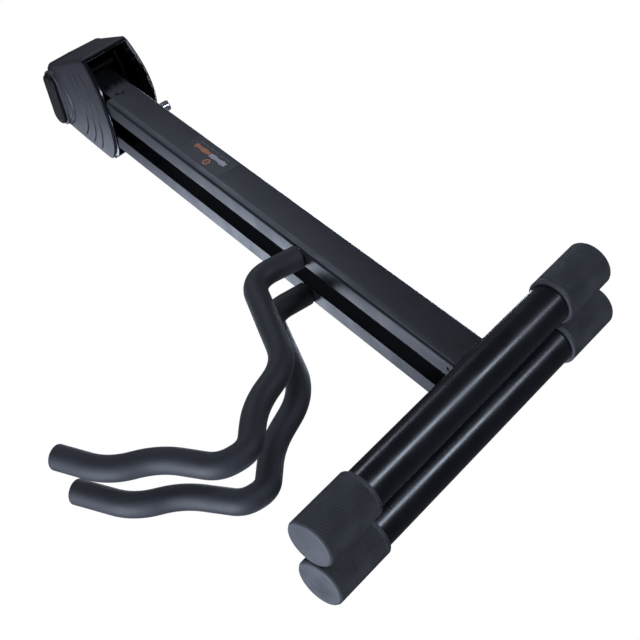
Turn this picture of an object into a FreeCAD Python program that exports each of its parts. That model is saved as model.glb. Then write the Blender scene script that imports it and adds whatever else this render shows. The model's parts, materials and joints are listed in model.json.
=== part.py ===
import FreeCAD, Part
import math
import os
import Sketcher
from FreeCAD import Placement, Rotation, Vector

# Folding A-frame guitar stand, folded: two channel legs hang from one head, each leg
# carries a foot tube with rubber end caps and a bent, foam-covered cradle arm.
# Frame: +Z up, +X towards the right leg, +Y to the back of the stand, arms towards -Y.
# The legs and arms are drawn in the leg frame: its Z runs up along the legs, its Y
# across them, its origin where the legs' middle meets the foot tubes' axes. It leans
# back by lean_angle about X and stands cap_radius above the floor.
# The head is drawn in the head frame, whose origin lies midway between the two hinges
# and which leans back by head_lean. The hinges' axes run along its Y.

DIMENSIONS = [
    # alias, value in mm or degrees, meaning
    ("lean_angle", 13.4, "angle by which the legs lean back"),
    ("head_lean", 8.0, "angle by which the head leans back"),
    ("centre_shift", 22.458, "moves the middle of the outline to Y = 0"),
    ("sheet_thick", 1.2, "steel sheet of the leg channels"),
    ("web_face", 21.5, "X of a folded leg's outer face"),
    ("flange_depth", 12.9, "depth of the channel across X"),
    ("web_width", 26.8, "width of the channel across Y"),
    ("leg_top", 452.0, "top end of the channel"),
    ("flange_top", 414.0, "top end of its front flange, just below the head"),
    ("tube_radius", 12.7, "outer radius of the foot tube"),
    ("tube_wall", 1.2, "wall of the foot tube"),
    ("tube_offset", 15.8, "X of the foot tube's axis"),
    ("foot_front", 150.0, "front end of the foot, ahead of the leg's middle"),
    ("foot_rear", 106.5, "rear end of the foot, behind the leg's middle"),
    ("cap_radius", 15.0, "outer radius of the rubber cap"),
    ("cap_length", 42.0, "length of the rubber cap"),
    ("cap_end", 2.0, "thickness of the cap's closed end"),
    ("cap_fit", 0.02, "gap between cap and tube"),
    ("vent_radius", 1.3, "radius of the vent hole above the foot tube"),
    ("vent_height", 15.3, "height of the vent hole"),
    ("rod_radius", 4.0, "radius of the arm's steel rod"),
    ("foam_radius", 7.75, "outer radius of the foam sleeve"),
    ("foam_fit", 0.05, "gap between foam and rod"),
    ("foam_start", 0.6, "bare rod between flange and foam"),
    ("arm_height", 162.0, "height at which the arm leaves the leg"),
    ("pivot_offset", 15.1, "X of a hinge axis"),
    ("pivot_height", 459.5, "height of the hinge axes along the legs"),
    ("pivot_radius", 3.0, "radius of the hinge pin"),
    ("pin_gap", 0.05, "radial running gap of the hinge"),
    ("bush_radius", 4.5, "outer radius of the hinge bush"),
    ("boss_radius", 9.0, "radius of the hinge block's eye"),
    ("block_bottom", 408.0, "lower end of the hinge block"),
    ("block_front", 8.0, "front face of the block above the front flange's end"),
    ("block_gap", 0.3, "gap between hinge block and washers"),
    ("washer_thick", 1.3, "thickness of the hinge washers"),
    ("cheek_front", 11.5, "inner face of the yoke's front cheek, ahead of the hinge"),
    ("cheek_rear", 15.0, "inner face of the yoke's rear cheek, behind the hinge"),
    ("cheek_thick", 1.5, "steel of the yoke"),
    ("cheek_foot", -15.0, "height of the cheeks' lower corners above the hinge"),
    ("cheek_foot_half", 38.0, "half width of the cheeks at their lower corners"),
    ("cheek_sag", 8.0, "drop of the cheeks' curved lower edge"),
    ("cheek_top", 24.0, "top face of the yoke's web above the hinge"),
    ("cheek_top_half", 24.5, "half width of the cheeks at the web"),
    ("stop_radius", 3.0, "radius of the spreading stops"),
    ("spread_angle", 20.0, "largest spread of each leg"),
    ("stop_reach", 15.0, "distance from hinge to stop along a spread leg"),
    ("cover_wall", 1.8, "wall of the moulded covers"),
    ("cover_front", 21.3, "covers' front face in its middle, ahead of the hinge"),
    ("front_bow", 8.0, "set-back of the front face at its corners"),
    ("cover_rear", 30.7, "covers' rear face in its middle, behind the hinge"),
    ("rear_bow", 3.7, "set-back of the rear face at its corners"),
    ("cover_foot", -15.0, "height of the covers' lower corners above the hinge"),
    ("cover_foot_half", 45.5, "half width of the covers at their lower corners"),
    ("front_sag", 30.0, "drop of the front cover's curved lower edge"),
    ("rear_sag", 17.0, "drop of the rear cover's curved lower edge"),
    ("shoulder_height", 27.0, "height where the shoulders turn in to the top"),
    ("shoulder_half", 28.0, "half width there"),
    ("crown_height", 38.5, "top of the covers above the hinge"),
    ("crown_half", 20.0, "half width of the flat top"),
    ("seam_position", 2.0, "Y of the seam between the covers"),
    ("seam_gap", 0.1, "gap at the seam and between covers and liner"),
    ("liner_wall", 1.0, "wall of the gloss liner"),
    ("liner_drop", 1.5, "liner showing below the covers' edge"),
    ("liner_top", 26.6, "top of the liner above the hinge"),
    ("seat_radius", 9.4, "end radius of the raised pad seat"),
    ("seat_half", 14.5, "X of the pad seat's end centres"),
    ("seat_proud", 1.2, "height of the pad seat above the front cover"),
    ("pad_height", 27.6, "height of the bumper pad's middle above the hinge"),
    ("pad_radius", 7.4, "end radius of the bumper pad"),
    ("pad_proud", 3.0, "height of the pad above its seat"),
    ("nut_across", 10.0, "width across flats of the hinge nuts"),
    ("nut_height", 3.6, "height of the hinge nuts"),
    ("lock_height", 381.6, "height of the lock pin along the leg"),
    ("lock_radius", 3.9, "radius of the lock pin's knob"),
    ("lock_proud", 8.0, "knob standing out of the rear flange"),
    ("lock_travel", 4.0, "pull of the lock pin"),
    ("lock_shank", 2.0, "radius of the lock pin's shank"),
    ("label_low", 266.5, "lower end of the label"),
    ("label_high", 318.5, "upper end of the label"),
    ("label_front", 7.4, "front edge of the label, ahead of the leg's middle"),
    ("label_rear", 11.0, "rear edge of the label, behind the leg's middle"),
    ("label_thick", 0.15, "thickness of the label"),
]

doc = FreeCAD.newDocument("guitar_stand")
sheet = doc.addObject("Spreadsheet::Sheet", "dims")
for row, (alias, value, meaning) in enumerate(DIMENSIONS, start=1):
    sheet.set(f"A{row}", alias)
    sheet.set(f"B{row}", str(value))
    sheet.set(f"C{row}", meaning)
    sheet.setAlias(f"B{row}", alias)
doc.recompute()
SIZE = {alias: float(sheet.get(alias)) for alias, value, meaning in DIMENSIONS}

SUBPARTS = []
SIDES = (("right", 1), ("left", -1))
TO_FRONT = Rotation(Vector(1, 0, 0), 90)
TO_REAR = Rotation(Vector(1, 0, 0), -90)
TO_RIGHT = Rotation(Vector(0, 1, 0), 90)
TO_LEFT = Rotation(Vector(0, 1, 0), -90)


def upright():
    """Placement of pieces drawn level with the floor, in the foot tubes' own frame."""
    return Placement(Vector(0, SIZE["centre_shift"], SIZE["cap_radius"]), Rotation())


def leaning():
    """Placement of pieces drawn in the leg frame."""
    turn = Rotation(Vector(1, 0, 0), -SIZE["lean_angle"])
    return Placement(Vector(0, SIZE["centre_shift"], SIZE["cap_radius"]), turn)


def at_head():
    """Placement of pieces drawn in the head frame."""
    lean = math.radians(SIZE["lean_angle"])
    middle = Vector(0, SIZE["centre_shift"] + SIZE["pivot_height"] * math.sin(lean),
                    SIZE["cap_radius"] + SIZE["pivot_height"] * math.cos(lean))
    return Placement(middle, Rotation(Vector(1, 0, 0), -SIZE["head_lean"]))


def keep(item, name, placement=None):
    """Names a finished sub-part and puts it in its place."""
    item.Label = name
    item.Placement = placement or leaning()
    SUBPARTS.append(item)
    return item


def bind(item, name, value):
    """Sets a property to a number, or binds it to cells of the sheet."""
    if isinstance(value, str):
        item.setExpression(name, value)
    else:
        item.setExpression(name, f"{value:.6f}")


def place(item, corner, turn=None):
    item.Placement = Placement(Vector(), turn or Rotation())
    for axis, value in zip("xyz", corner):
        bind(item, f"Placement.Base.{axis}", value)


def block(name, corner, lengths):
    item = doc.addObject("Part::Box", name)
    for side, value in zip(("Length", "Width", "Height"), lengths):
        bind(item, side, value)
    place(item, corner)
    return item


def round_bar(name, radius, length, start, turn):
    item = doc.addObject("Part::Cylinder", name)
    bind(item, "Radius", radius)
    bind(item, "Height", length)
    place(item, start, turn)
    return item


def taper(name, radius_low, radius_high, length, start, turn):
    item = doc.addObject("Part::Cone", name)
    bind(item, "Radius1", radius_low)
    bind(item, "Radius2", radius_high)
    bind(item, "Height", length)
    place(item, start, turn)
    return item


def cut(name, base, *tools):
    for count, tool in enumerate(tools, start=1):
        item = doc.addObject("Part::Cut", f"{name}_cut{count}")
        item.Base = base
        item.Tool = tool
        base = item
    return base


def join(name, *shapes):
    item = doc.addObject("Part::MultiFuse", f"{name}_join")
    item.Shapes = list(shapes)
    item.Refine = True
    return item


def group(name, *shapes):
    item = doc.addObject("Part::Compound", f"{name}_set")
    item.Links = list(shapes)
    return item


def signed(sign, text):
    """The expression text, mirrored for the left side."""
    return text if sign > 0 else f"-({text})"


def centred(sign, near, length):
    """Lowest X of a box that reaches from near by length towards the middle."""
    return f"{near} - ({length})" if sign > 0 else f"-({near})"


def origin_plane(body, role):
    return next(item for item in body.Origin.OriginFeatures if item.Role == role)


def new_sketch(body, name, role):
    sketch = body.newObject("Sketcher::SketchObject", name)
    sketch.AttachmentSupport = [(origin_plane(body, role), "")]
    sketch.MapMode = "FlatFace"
    return sketch


def size_line(sketch, kind, items, label, expression):
    """Adds a named dimension and binds it to the sheet."""
    number = sketch.addConstraint(Sketcher.Constraint(kind, *items))
    sketch.renameConstraint(number, label)
    sketch.setExpression(f"Constraints.{label}", expression)


def add_circle(sketch, radius, label, expression):
    """A circle about the sketch's origin with a bound radius."""
    number = sketch.addGeometry(Part.Circle(Vector(), Vector(0, 0, 1), radius))
    sketch.addConstraint(Sketcher.Constraint("Coincident", number, 3, -1, 1))
    size_line(sketch, "Radius", (number, radius), label, expression)


# ---------------------------------------------------------------- leg channels


def leg_channel(name, sign):
    """U channel, open towards the other leg, coped at its foot to sit on the tube."""
    web_x = centred(sign, "dims.web_face", "dims.sheet_thick")
    flange_x = centred(sign, "dims.web_face", "dims.flange_depth")
    half = "dims.web_width / 2"
    web = block(f"{name}_web", (web_x, f"-{half}", -2),
                ("dims.sheet_thick", "dims.web_width", "dims.leg_top + 2"))
    front = block(f"{name}_front", (flange_x, f"-{half}", -2),
                  ("dims.flange_depth", "dims.sheet_thick", "dims.leg_top + 2"))
    rear = block(f"{name}_rear", (flange_x, f"{half} - dims.sheet_thick", -2),
                 ("dims.flange_depth", "dims.sheet_thick", "dims.leg_top + 2"))
    solid = join(name, web, front, rear)
    reach = 60
    tilt = Rotation(Vector(1, 0, 0), -90 + SIZE["lean_angle"])
    cope = round_bar(f"{name}_cope", "dims.tube_radius", 2 * reach,
                     (signed(sign, "dims.tube_offset"), f"-{reach} * cos(dims.lean_angle)",
                      f"-{reach} * sin(dims.lean_angle)"), tilt)
    below = block(f"{name}_below", (-30, -20, -14), (60, 40, 14))
    vent = round_bar(f"{name}_vent", "dims.vent_radius", 4,
                     (signed(sign, "dims.pivot_offset"), f"-{half} - 1", "dims.vent_height"),
                     TO_REAR)
    notch = block(f"{name}_notch", (-30, f"-{half} - 1", "dims.flange_top"),
                  (60, "dims.web_width / 2 + 1 - dims.block_front", 60))
    rivet_holes = [round_bar(f"{name}_rivet_hole{n}", 2.05, 40,
                             (signed(sign, "dims.pivot_offset") + f" {'-' if sign > 0 else '+'} 20",
                              0, f"dims.block_bottom + {height}"), TO_RIGHT if sign > 0 else TO_LEFT)
                   for n, height in enumerate(RIVET_HEIGHTS, start=1)]
    eye_relief = hinge_axis_bar(f"{name}_eye_relief", sign, "dims.boss_radius + 0.15", 40, 40)
    tools = [below, cope, vent, notch, eye_relief] + rivet_holes
    if sign > 0:
        tools.append(round_bar(f"{name}_lock_hole", "dims.lock_radius + 0.52", 4,
                               ("dims.pivot_offset", f"{half} - 3", "dims.lock_height"), TO_REAR))
    return cut(name, solid, *tools)


# ---------------------------------------------------------------- feet


def foot_tube(name, sign):
    """Straight steel tube, drawn about its own axis and laid along Y."""
    body = doc.addObject("PartDesign::Body", name)
    ring = new_sketch(body, f"{name}_ring", "XZ_Plane")
    add_circle(ring, SIZE["tube_radius"], "outer", "dims.tube_radius")
    add_circle(ring, SIZE["tube_radius"] - SIZE["tube_wall"], "inner",
               "dims.tube_radius - dims.tube_wall")
    pad = body.newObject("PartDesign::Pad", f"{name}_length")
    pad.Profile = ring
    pad.setExpression("Length", "dims.foot_front + dims.foot_rear - 2 * dims.cap_end")
    start = SIZE["foot_rear"] - SIZE["cap_end"]
    where = upright().multiply(Placement(Vector(sign * SIZE["tube_offset"], start, 0), Rotation()))
    return keep(body, name, where)


def foot_cap(name, sign, front):
    """Rubber cap: a cup over the tube's end, with a rounded outer edge."""
    body = doc.addObject("PartDesign::Body", name)
    disc = new_sketch(body, f"{name}_disc", "XZ_Plane")
    add_circle(disc, SIZE["cap_radius"], "outer", "dims.cap_radius")
    outside = body.newObject("PartDesign::Pad", f"{name}_outside")
    outside.Profile = disc
    outside.setExpression("Length", "dims.cap_length")
    doc.recompute()
    bore = new_sketch(body, f"{name}_bore", "XZ_Plane")
    add_circle(bore, SIZE["tube_radius"], "bore", "dims.tube_radius + dims.cap_fit")
    inside = body.newObject("PartDesign::Pocket", f"{name}_inside")
    inside.Profile = bore
    inside.setExpression("Length", "dims.cap_length - dims.cap_end")
    inside.Reversed = True
    doc.recompute()
    closed_y = outside.Shape.BoundBox.YMin
    rim = [f"Edge{n}" for n, edge in enumerate(inside.Shape.Edges, start=1)
           if abs(edge.BoundBox.YMin - closed_y) < 0.01 and edge.BoundBox.XLength > 20
           and edge.BoundBox.YLength < 0.01]
    rounding = body.newObject("PartDesign::Fillet", f"{name}_rounding")
    rounding.Base = (inside, rim)
    rounding.Radius = 1.4
    turn = Rotation() if front else Rotation(Vector(0, 0, 1), 180)
    end = -SIZE["foot_front"] + SIZE["cap_length"] if front else SIZE["foot_rear"] - SIZE["cap_length"]
    where = upright().multiply(Placement(Vector(sign * SIZE["tube_offset"], end, 0), turn))
    return keep(body, name, where)


# ---------------------------------------------------------------- cradle arms

# Corners of each arm's middle line in the leg frame, as distance ahead of the leg's
# middle and height: out of the flange, down, along the seat, and up to the tip.
# The left arm is bent a little closer to its leg.
ARM_CORNERS = {
    1: [(49.0, 165.0), (76.3, 86.5), (109.0, 70.5), (130.0, 43.5), (149.5, 44.5),
        (170.0, 74.5), (197.0, 87.3), (213.2, 119.0)],
    -1: [(43.5, 163.0), (68.5, 88.5), (107.5, 65.5), (128.0, 39.5), (143.5, 40.0),
         (165.5, 70.0), (191.5, 82.5), (210.5, 118.0)],
}


def arm_route(sign, start, end_trim):
    """Straight runs joined by tangent arcs, in the plane of the leg."""
    half = SIZE["web_width"] / 2
    x = sign * SIZE["pivot_offset"]
    corners = [Vector(x, -half - start, SIZE["arm_height"])]
    corners += [Vector(x, -ahead, height) for ahead, height in ARM_CORNERS[sign]]
    last = corners[-1] - corners[-2]
    corners[-1] = corners[-1] - last.normalize() * end_trim
    edges = []
    here = corners[0]
    for before, corner, after in zip(corners, corners[1:], corners[2:]):
        coming = (corner - before).normalize()
        going = (after - corner).normalize()
        turn = coming.getAngle(going)
        room = 0.45 * min((corner - before).Length, (after - corner).Length)
        radius = room / math.tan(turn / 2)
        begin = corner - coming * room
        finish = corner + going * room
        middle_way = (going - coming).normalize()
        centre = corner + middle_way * (radius / math.cos(turn / 2))
        middle = centre - middle_way * radius
        edges.append(Part.LineSegment(here, begin).toShape())
        edges.append(Part.Arc(begin, middle, finish).toShape())
        here = finish
    edges.append(Part.LineSegment(here, corners[-1]).toShape())
    return Part.Wire(edges)


def swept(route, radius):
    start = route.Vertexes[0].Point
    ring = Part.Wire(Part.makeCircle(radius, start, Vector(0, -1, 0)))
    return route.makePipeShell([ring], True, False)


def arm_rod(name, sign):
    item = doc.addObject("Part::Feature", name)
    item.Shape = swept(arm_route(sign, 0.0, 3.0), SIZE["rod_radius"])
    return keep(item, name)


def arm_foam(name, sign):
    """Foam sleeve with a closed tip, pushed over the rod."""
    outside = swept(arm_route(sign, SIZE["foam_start"], 0.0), SIZE["foam_radius"])
    inside = swept(arm_route(sign, 0.0, 2.9), SIZE["rod_radius"] + SIZE["foam_fit"])
    item = doc.addObject("Part::Feature", name)
    item.Shape = outside.cut(inside)
    return keep(item, name)


# ---------------------------------------------------------------- hinge blocks


def hinge_axis_bar(name, sign, radius, front, rear):
    """Bar about the hinge axis, drawn in the leg frame; front and rear are head-frame Y."""
    across = "(dims.lean_angle - dims.head_lean)"
    start = (signed(sign, "dims.pivot_offset"), f"-({front}) * cos{across}",
             f"dims.pivot_height - ({front}) * sin{across}")
    tilt = Rotation(Vector(1, 0, 0), -90 + SIZE["lean_angle"] - SIZE["head_lean"])
    return round_bar(name, radius, f"({front}) + ({rear})", start, tilt)


EYE_FRONT = "dims.cheek_front - dims.washer_thick - dims.block_gap"
EYE_REAR = "dims.cheek_rear - dims.washer_thick - dims.block_gap"
RIVET_HEIGHTS = (8, 21)


def hinge_block(name, sign):
    """Nylon block riveted inside the channel's top, with an eye for the bush."""
    near = "dims.web_face - dims.sheet_thick - 0.02"
    depth = "dims.flange_depth - dims.sheet_thick - 0.02"
    half = "dims.web_width / 2 - dims.sheet_thick - 0.02"
    stem = block(f"{name}_stem", (centred(sign, near, depth), f"-({half})", "dims.block_bottom"),
                 (depth, f"2 * ({half})", "dims.flange_top - dims.block_bottom"))
    upper = block(f"{name}_upper",
                  (centred(sign, near, depth), "-dims.block_front", "dims.flange_top - 1"),
                  (depth, f"{half} + dims.block_front", "dims.leg_top - dims.flange_top + 1"))
    neck = block(f"{name}_neck",
                 (signed(sign, "dims.pivot_offset") + " - 5.8", "-dims.block_front", "dims.leg_top"),
                 (11.6, f"{half} + dims.block_front", "dims.pivot_height - dims.leg_top"))
    eye = hinge_axis_bar(f"{name}_eye", sign, "dims.boss_radius", EYE_FRONT, EYE_REAR)
    bore = hinge_axis_bar(f"{name}_bore", sign, "dims.bush_radius + 0.02", 40, 40)
    holes = [round_bar(f"{name}_rivet_hole{n}", 2.05, 40,
                       (signed(sign, "dims.pivot_offset") + f" {'-' if sign > 0 else '+'} 20", 0,
                        f"dims.block_bottom + {height}"), TO_RIGHT if sign > 0 else TO_LEFT)
             for n, height in enumerate(RIVET_HEIGHTS, start=1)]
    whole = cut(name, join(name, stem, upper, neck, eye), bore, *holes)
    return keep(whole, name)


def hinge_bush(name, sign):
    outside = hinge_axis_bar(f"{name}_outside", sign, "dims.bush_radius", EYE_FRONT, EYE_REAR)
    inside = hinge_axis_bar(f"{name}_inside", sign, "dims.pivot_radius + dims.pin_gap",
                            EYE_FRONT + " + 1", EYE_REAR + " + 1")
    return keep(cut(name, outside, inside), name)


def block_rivets(name, sign):
    """Two rivets through web and block, with low heads outside the web."""
    turn = TO_LEFT if sign > 0 else TO_RIGHT
    rivets = []
    for number, height in enumerate(RIVET_HEIGHTS, start=1):
        z = f"dims.block_bottom + {height}"
        shank = round_bar(f"{name}_shank{number}", 2.0, "dims.flange_depth",
                          (signed(sign, "dims.web_face"), 0, z), turn)
        head = taper(f"{name}_head{number}", 3.6, 2.4, 1.1, (signed(sign, "dims.web_face"), 0, z),
                     TO_RIGHT if sign > 0 else TO_LEFT)
        rivets.append(join(f"{name}{number}", shank, head))
    return keep(group(name, *rivets), name)


# ---------------------------------------------------------------- head


def outline(points, lowest, y, depth):
    """Prism with straight sides over the given corners and a curved lower edge."""
    corners = [Vector(x, y, z) for x, z in points]
    edges = [Part.LineSegment(a, b).toShape() for a, b in zip(corners, corners[1:])]
    edges.append(Part.Arc(corners[-1], Vector(0, y, lowest), corners[0]).toShape())
    return Part.Face(Part.Wire(edges)).extrude(Vector(0, depth, 0))


def bowed(inset):
    """Everything between the head's bowed front and rear faces, drawn in by inset."""
    half = SIZE["cover_foot_half"]
    solids = []
    for bow, middle, side in ((SIZE["front_bow"], -SIZE["cover_front"], 1),
                              (SIZE["rear_bow"], SIZE["cover_rear"], -1)):
        radius = (half ** 2 + bow ** 2) / (2 * bow)
        centre = Vector(0, middle + side * radius, -80)
        solids.append(Part.makeCylinder(radius - inset, 160, centre))
    return solids[0].common(solids[1])


def trapezium(inset, drop, top=None):
    """The head's outline: sloping shoulders, turned-in top, lower edge lowered by drop.

    The lower edge hangs further down in front of the seam than behind it.
    """
    seam = SIZE["seam_position"]
    front = half_trapezium(inset, drop, top, SIZE["front_sag"], seam - 60, 60)
    rear = half_trapezium(inset, drop, top, SIZE["rear_sag"], seam, 60)
    return front.fuse(rear).removeSplitter()


def half_trapezium(inset, drop, top, sag, start, depth):
    side = 1.1 * inset
    foot = SIZE["cover_foot"] - drop
    slope = (SIZE["cover_foot_half"] - SIZE["shoulder_half"]) / (SIZE["shoulder_height"]
                                                                 - SIZE["cover_foot"])
    foot_half = SIZE["cover_foot_half"] + drop * slope - side
    if top is None:
        upper = [(SIZE["shoulder_half"] - side, SIZE["shoulder_height"]),
                 (SIZE["crown_half"] - side / 2, SIZE["crown_height"] - inset)]
    else:
        upper = [(SIZE["cover_foot_half"] - slope * (top - SIZE["cover_foot"]) - side, top)]
    right = [(foot_half, foot)] + upper
    left = [(-x, z) for x, z in reversed(right)]
    return outline(right + left, foot - sag, start, depth)


def along_y(x, z, radius, front, rear):
    return Part.makeCylinder(radius, rear - front, Vector(x, front, z), Vector(0, 1, 0))


def stadium(half, radius, height, front, rear):
    """Solid with a stadium section lying along X, from front to rear."""
    ends = [along_y(x, height, radius, front, rear) for x in (-half, half)]
    bar = Part.makeBox(2 * half, rear - front, 2 * radius, Vector(-half, front, height - radius))
    return bar.fuse(ends).removeSplitter()


TOP_SCREWS = [(13.0, 32.4), (-13.0, 32.4)]
SIDE_SCREWS = [(27.0, 2.0), (-27.0, 2.0)]
SCREW_RADIUS = 1.48
HINGES = [SIZE["pivot_offset"], -SIZE["pivot_offset"]]
REAR_CHEEK_FACE = SIZE["cheek_rear"] + SIZE["cheek_thick"]
FRONT_CHEEK_FACE = -SIZE["cheek_front"] - SIZE["cheek_thick"]


def stop_place():
    """X and Z of the right-hand spreading stop, where a fully spread leg's web meets it."""
    spread = math.radians(SIZE["spread_angle"])
    away = SIZE["web_face"] - SIZE["pivot_offset"] + SIZE["stop_radius"] + 0.3
    x = SIZE["pivot_offset"] + away * math.cos(spread) + SIZE["stop_reach"] * math.sin(spread)
    z = away * math.sin(spread) - SIZE["stop_reach"] * math.cos(spread)
    return x, z


def head_yoke(name):
    """Steel bracket bent to an upside-down U: two cheeks and a web across their tops."""
    depth = REAR_CHEEK_FACE - FRONT_CHEEK_FACE
    corners = [(SIZE["cheek_foot_half"], SIZE["cheek_foot"]),
               (SIZE["cheek_top_half"], SIZE["cheek_top"]),
               (-SIZE["cheek_top_half"], SIZE["cheek_top"]),
               (-SIZE["cheek_foot_half"], SIZE["cheek_foot"])]
    whole = outline(corners, SIZE["cheek_foot"] - SIZE["cheek_sag"], FRONT_CHEEK_FACE, depth)
    room = Part.makeBox(120, depth - 2 * SIZE["cheek_thick"], 100,
                        Vector(-60, -SIZE["cheek_front"], SIZE["cheek_top"] - SIZE["cheek_thick"] - 100))
    shape = whole.cut(room)
    hole = SIZE["pivot_radius"] + 0.02
    for x in HINGES:
        shape = shape.cut(along_y(x, 0, hole, FRONT_CHEEK_FACE - 1, REAR_CHEEK_FACE + 1))
        sink = Part.makeCone(5.42, hole, 1.2, Vector(x, FRONT_CHEEK_FACE, 0), Vector(0, 1, 0))
        shape = shape.cut(sink)
    stop_x, stop_z = stop_place()
    for x in (stop_x, -stop_x):
        shape = shape.cut(along_y(x, stop_z, 1.52, FRONT_CHEEK_FACE - 1, REAR_CHEEK_FACE + 1))
    for x, z in SIDE_SCREWS:
        shape = shape.cut(along_y(x, z, 1.52, 0, REAR_CHEEK_FACE + 1))
    item = doc.addObject("Part::Feature", name)
    item.Shape = shape
    return keep(item, name, at_head())


def spread_stops(name):
    """Two steel spacers between the cheeks, riveted at both ends: a spread leg rests on one."""
    stop_x, stop_z = stop_place()
    shapes = []
    for x in (stop_x, -stop_x):
        body = along_y(x, stop_z, SIZE["stop_radius"], -SIZE["cheek_front"], SIZE["cheek_rear"])
        spigot = along_y(x, stop_z, 1.5, FRONT_CHEEK_FACE, REAR_CHEEK_FACE)
        upset = Part.makeCone(2.6, 1.8, 0.8, Vector(x, REAR_CHEEK_FACE, stop_z), Vector(0, 1, 0))
        shapes.append(body.fuse([spigot, upset]).removeSplitter())
    item = doc.addObject("Part::Feature", name)
    item.Shape = Part.makeCompound(shapes)
    return keep(item, name, at_head())


def head_covers():
    """Front and rear moulded covers: one hollow trapezium, open below, parted at the seam."""
    wall = SIZE["cover_wall"]
    hollow = bowed(0).common(trapezium(0, 0)).cut(bowed(wall).common(trapezium(wall, 40)))
    room_behind = bowed(wall)
    bosses = [along_y(x, z, 3.2, -40, 40).common(room_behind) for x, z in TOP_SCREWS]
    hollow = hollow.fuse(bosses)
    seam = SIZE["seam_position"]
    gap = SIZE["seam_gap"] / 2
    front_shape = hollow.common(Part.makeBox(140, 100, 140, Vector(-70, seam - gap - 100, -70)))
    rear_shape = hollow.common(Part.makeBox(140, 100, 140, Vector(-70, seam + gap, -70)))
    face = -SIZE["cover_front"] - SIZE["seat_proud"]
    seat = stadium(SIZE["seat_half"], SIZE["seat_radius"], SIZE["pad_height"], face, -10)
    front_shape = front_shape.fuse(seat.cut(bowed(wall / 2)))
    for x, z in TOP_SCREWS:
        front_shape = front_shape.cut(along_y(x, z, SCREW_RADIUS + 0.02, seam - 12, seam + 1))
        rear_shape = rear_shape.cut(along_y(x, z, SCREW_RADIUS + 0.1, seam - 1, 40))
    for x, z in SIDE_SCREWS:
        rear_shape = rear_shape.cut(along_y(x, z, SCREW_RADIUS + 0.1, 15, 40))
    for x, z in TOP_SCREWS + SIDE_SCREWS:
        rear_shape = rear_shape.cut(along_y(x, z, 2.9, screw_seat(x), 40))
    for name, shape in (("head_cover_front", front_shape), ("head_cover_rear", rear_shape)):
        item = doc.addObject("Part::Feature", name)
        item.Shape = shape.removeSplitter()
        keep(item, name, at_head())


def screw_seat(x):
    """Y of the flat that a cover screw's head rests on, at a distance x from the middle."""
    return SIZE["cover_rear"] - SIZE["rear_bow"] * (x / SIZE["cover_foot_half"]) ** 2 - 1.2


def head_liner(name):
    """Gloss black inner moulding against the covers, with posts for the rear screws."""
    start = SIZE["cover_wall"] + SIZE["seam_gap"]
    finish = start + SIZE["liner_wall"]
    outside = bowed(start).common(trapezium(start, SIZE["liner_drop"], SIZE["liner_top"]))
    inside = bowed(finish).common(trapezium(finish, 40, SIZE["liner_top"] - SIZE["liner_wall"]))
    shape = outside.cut(inside)
    posts = [along_y(x, z, 3.0, REAR_CHEEK_FACE + 0.02, 40).common(bowed(start))
             for x, z in SIDE_SCREWS]
    shape = shape.fuse(posts)
    for x, z in SIDE_SCREWS:
        shape = shape.cut(along_y(x, z, SCREW_RADIUS + 0.1, 10, 40))
    item = doc.addObject("Part::Feature", name)
    item.Shape = shape.removeSplitter()
    return keep(item, name, at_head())


def bumper_pad(name):
    """Rubber pad glued on its seat, with softly rounded edges."""
    face = -SIZE["cover_front"] - SIZE["seat_proud"]
    shape = stadium(SIZE["seat_half"], SIZE["pad_radius"], SIZE["pad_height"],
                    face - SIZE["pad_proud"], face)
    rim = [edge for edge in shape.Edges if edge.BoundBox.YMax < face - SIZE["pad_proud"] + 0.01]
    item = doc.addObject("Part::Feature", name)
    item.Shape = shape.makeFillet(1.4, rim)
    return keep(item, name, at_head())


def hinge_pin(name, sign):
    """Steel pin with a countersunk front head and a thread for its nut behind."""
    x = signed(sign, "dims.pivot_offset")
    front = "dims.cheek_front + dims.cheek_thick"
    shank = round_bar(f"{name}_shank", "dims.pivot_radius",
                      f"{front} + dims.cheek_rear + dims.cheek_thick + dims.nut_height + 0.4",
                      (x, f"-({front})", 0), TO_REAR)
    head = taper(f"{name}_head", 5.4, "dims.pivot_radius", 1.2, (x, f"-({front})", 0), TO_REAR)
    slot = block(f"{name}_slot", (f"{x} - 5", f"-({front}) - 0.2", -0.6), (10, 0.8, 1.2))
    return keep(cut(name, join(name, shank, head), slot), name, at_head())


def hinge_nuts(name):
    nuts = []
    for side, sign in SIDES:
        nut = doc.addObject("Part::Prism", f"{name}_{side}")
        nut.Polygon = 6
        bind(nut, "Circumradius", "dims.nut_across / sqrt(3)")
        bind(nut, "Height", "dims.nut_height")
        start = (signed(sign, "dims.pivot_offset"), "dims.cheek_rear + dims.cheek_thick", 0)
        place(nut, start, TO_REAR)
        bore = round_bar(f"{name}_{side}_bore", "dims.pivot_radius + 0.02", "dims.nut_height",
                         start, TO_REAR)
        nuts.append(cut(f"{name}_{side}", nut, bore))
    return keep(group(name, *nuts), name, at_head())


def hinge_washers(name):
    """Nylon washers between the cheeks and the hinge blocks, front and rear on each pin."""
    washers = []
    for side, sign in SIDES:
        for end, start_y in (("front", "-dims.cheek_front"),
                             ("rear", "dims.cheek_rear - dims.washer_thick")):
            start = (signed(sign, "dims.pivot_offset"), start_y, 0)
            disc = round_bar(f"{name}_{side}_{end}", 7.5, "dims.washer_thick", start, TO_REAR)
            bore = round_bar(f"{name}_{side}_{end}_bore", "dims.pivot_radius + 0.02",
                             "dims.washer_thick", start, TO_REAR)
            washers.append(cut(f"{name}_{side}_{end}", disc, bore))
    return keep(group(name, *washers), name, at_head())


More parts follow.
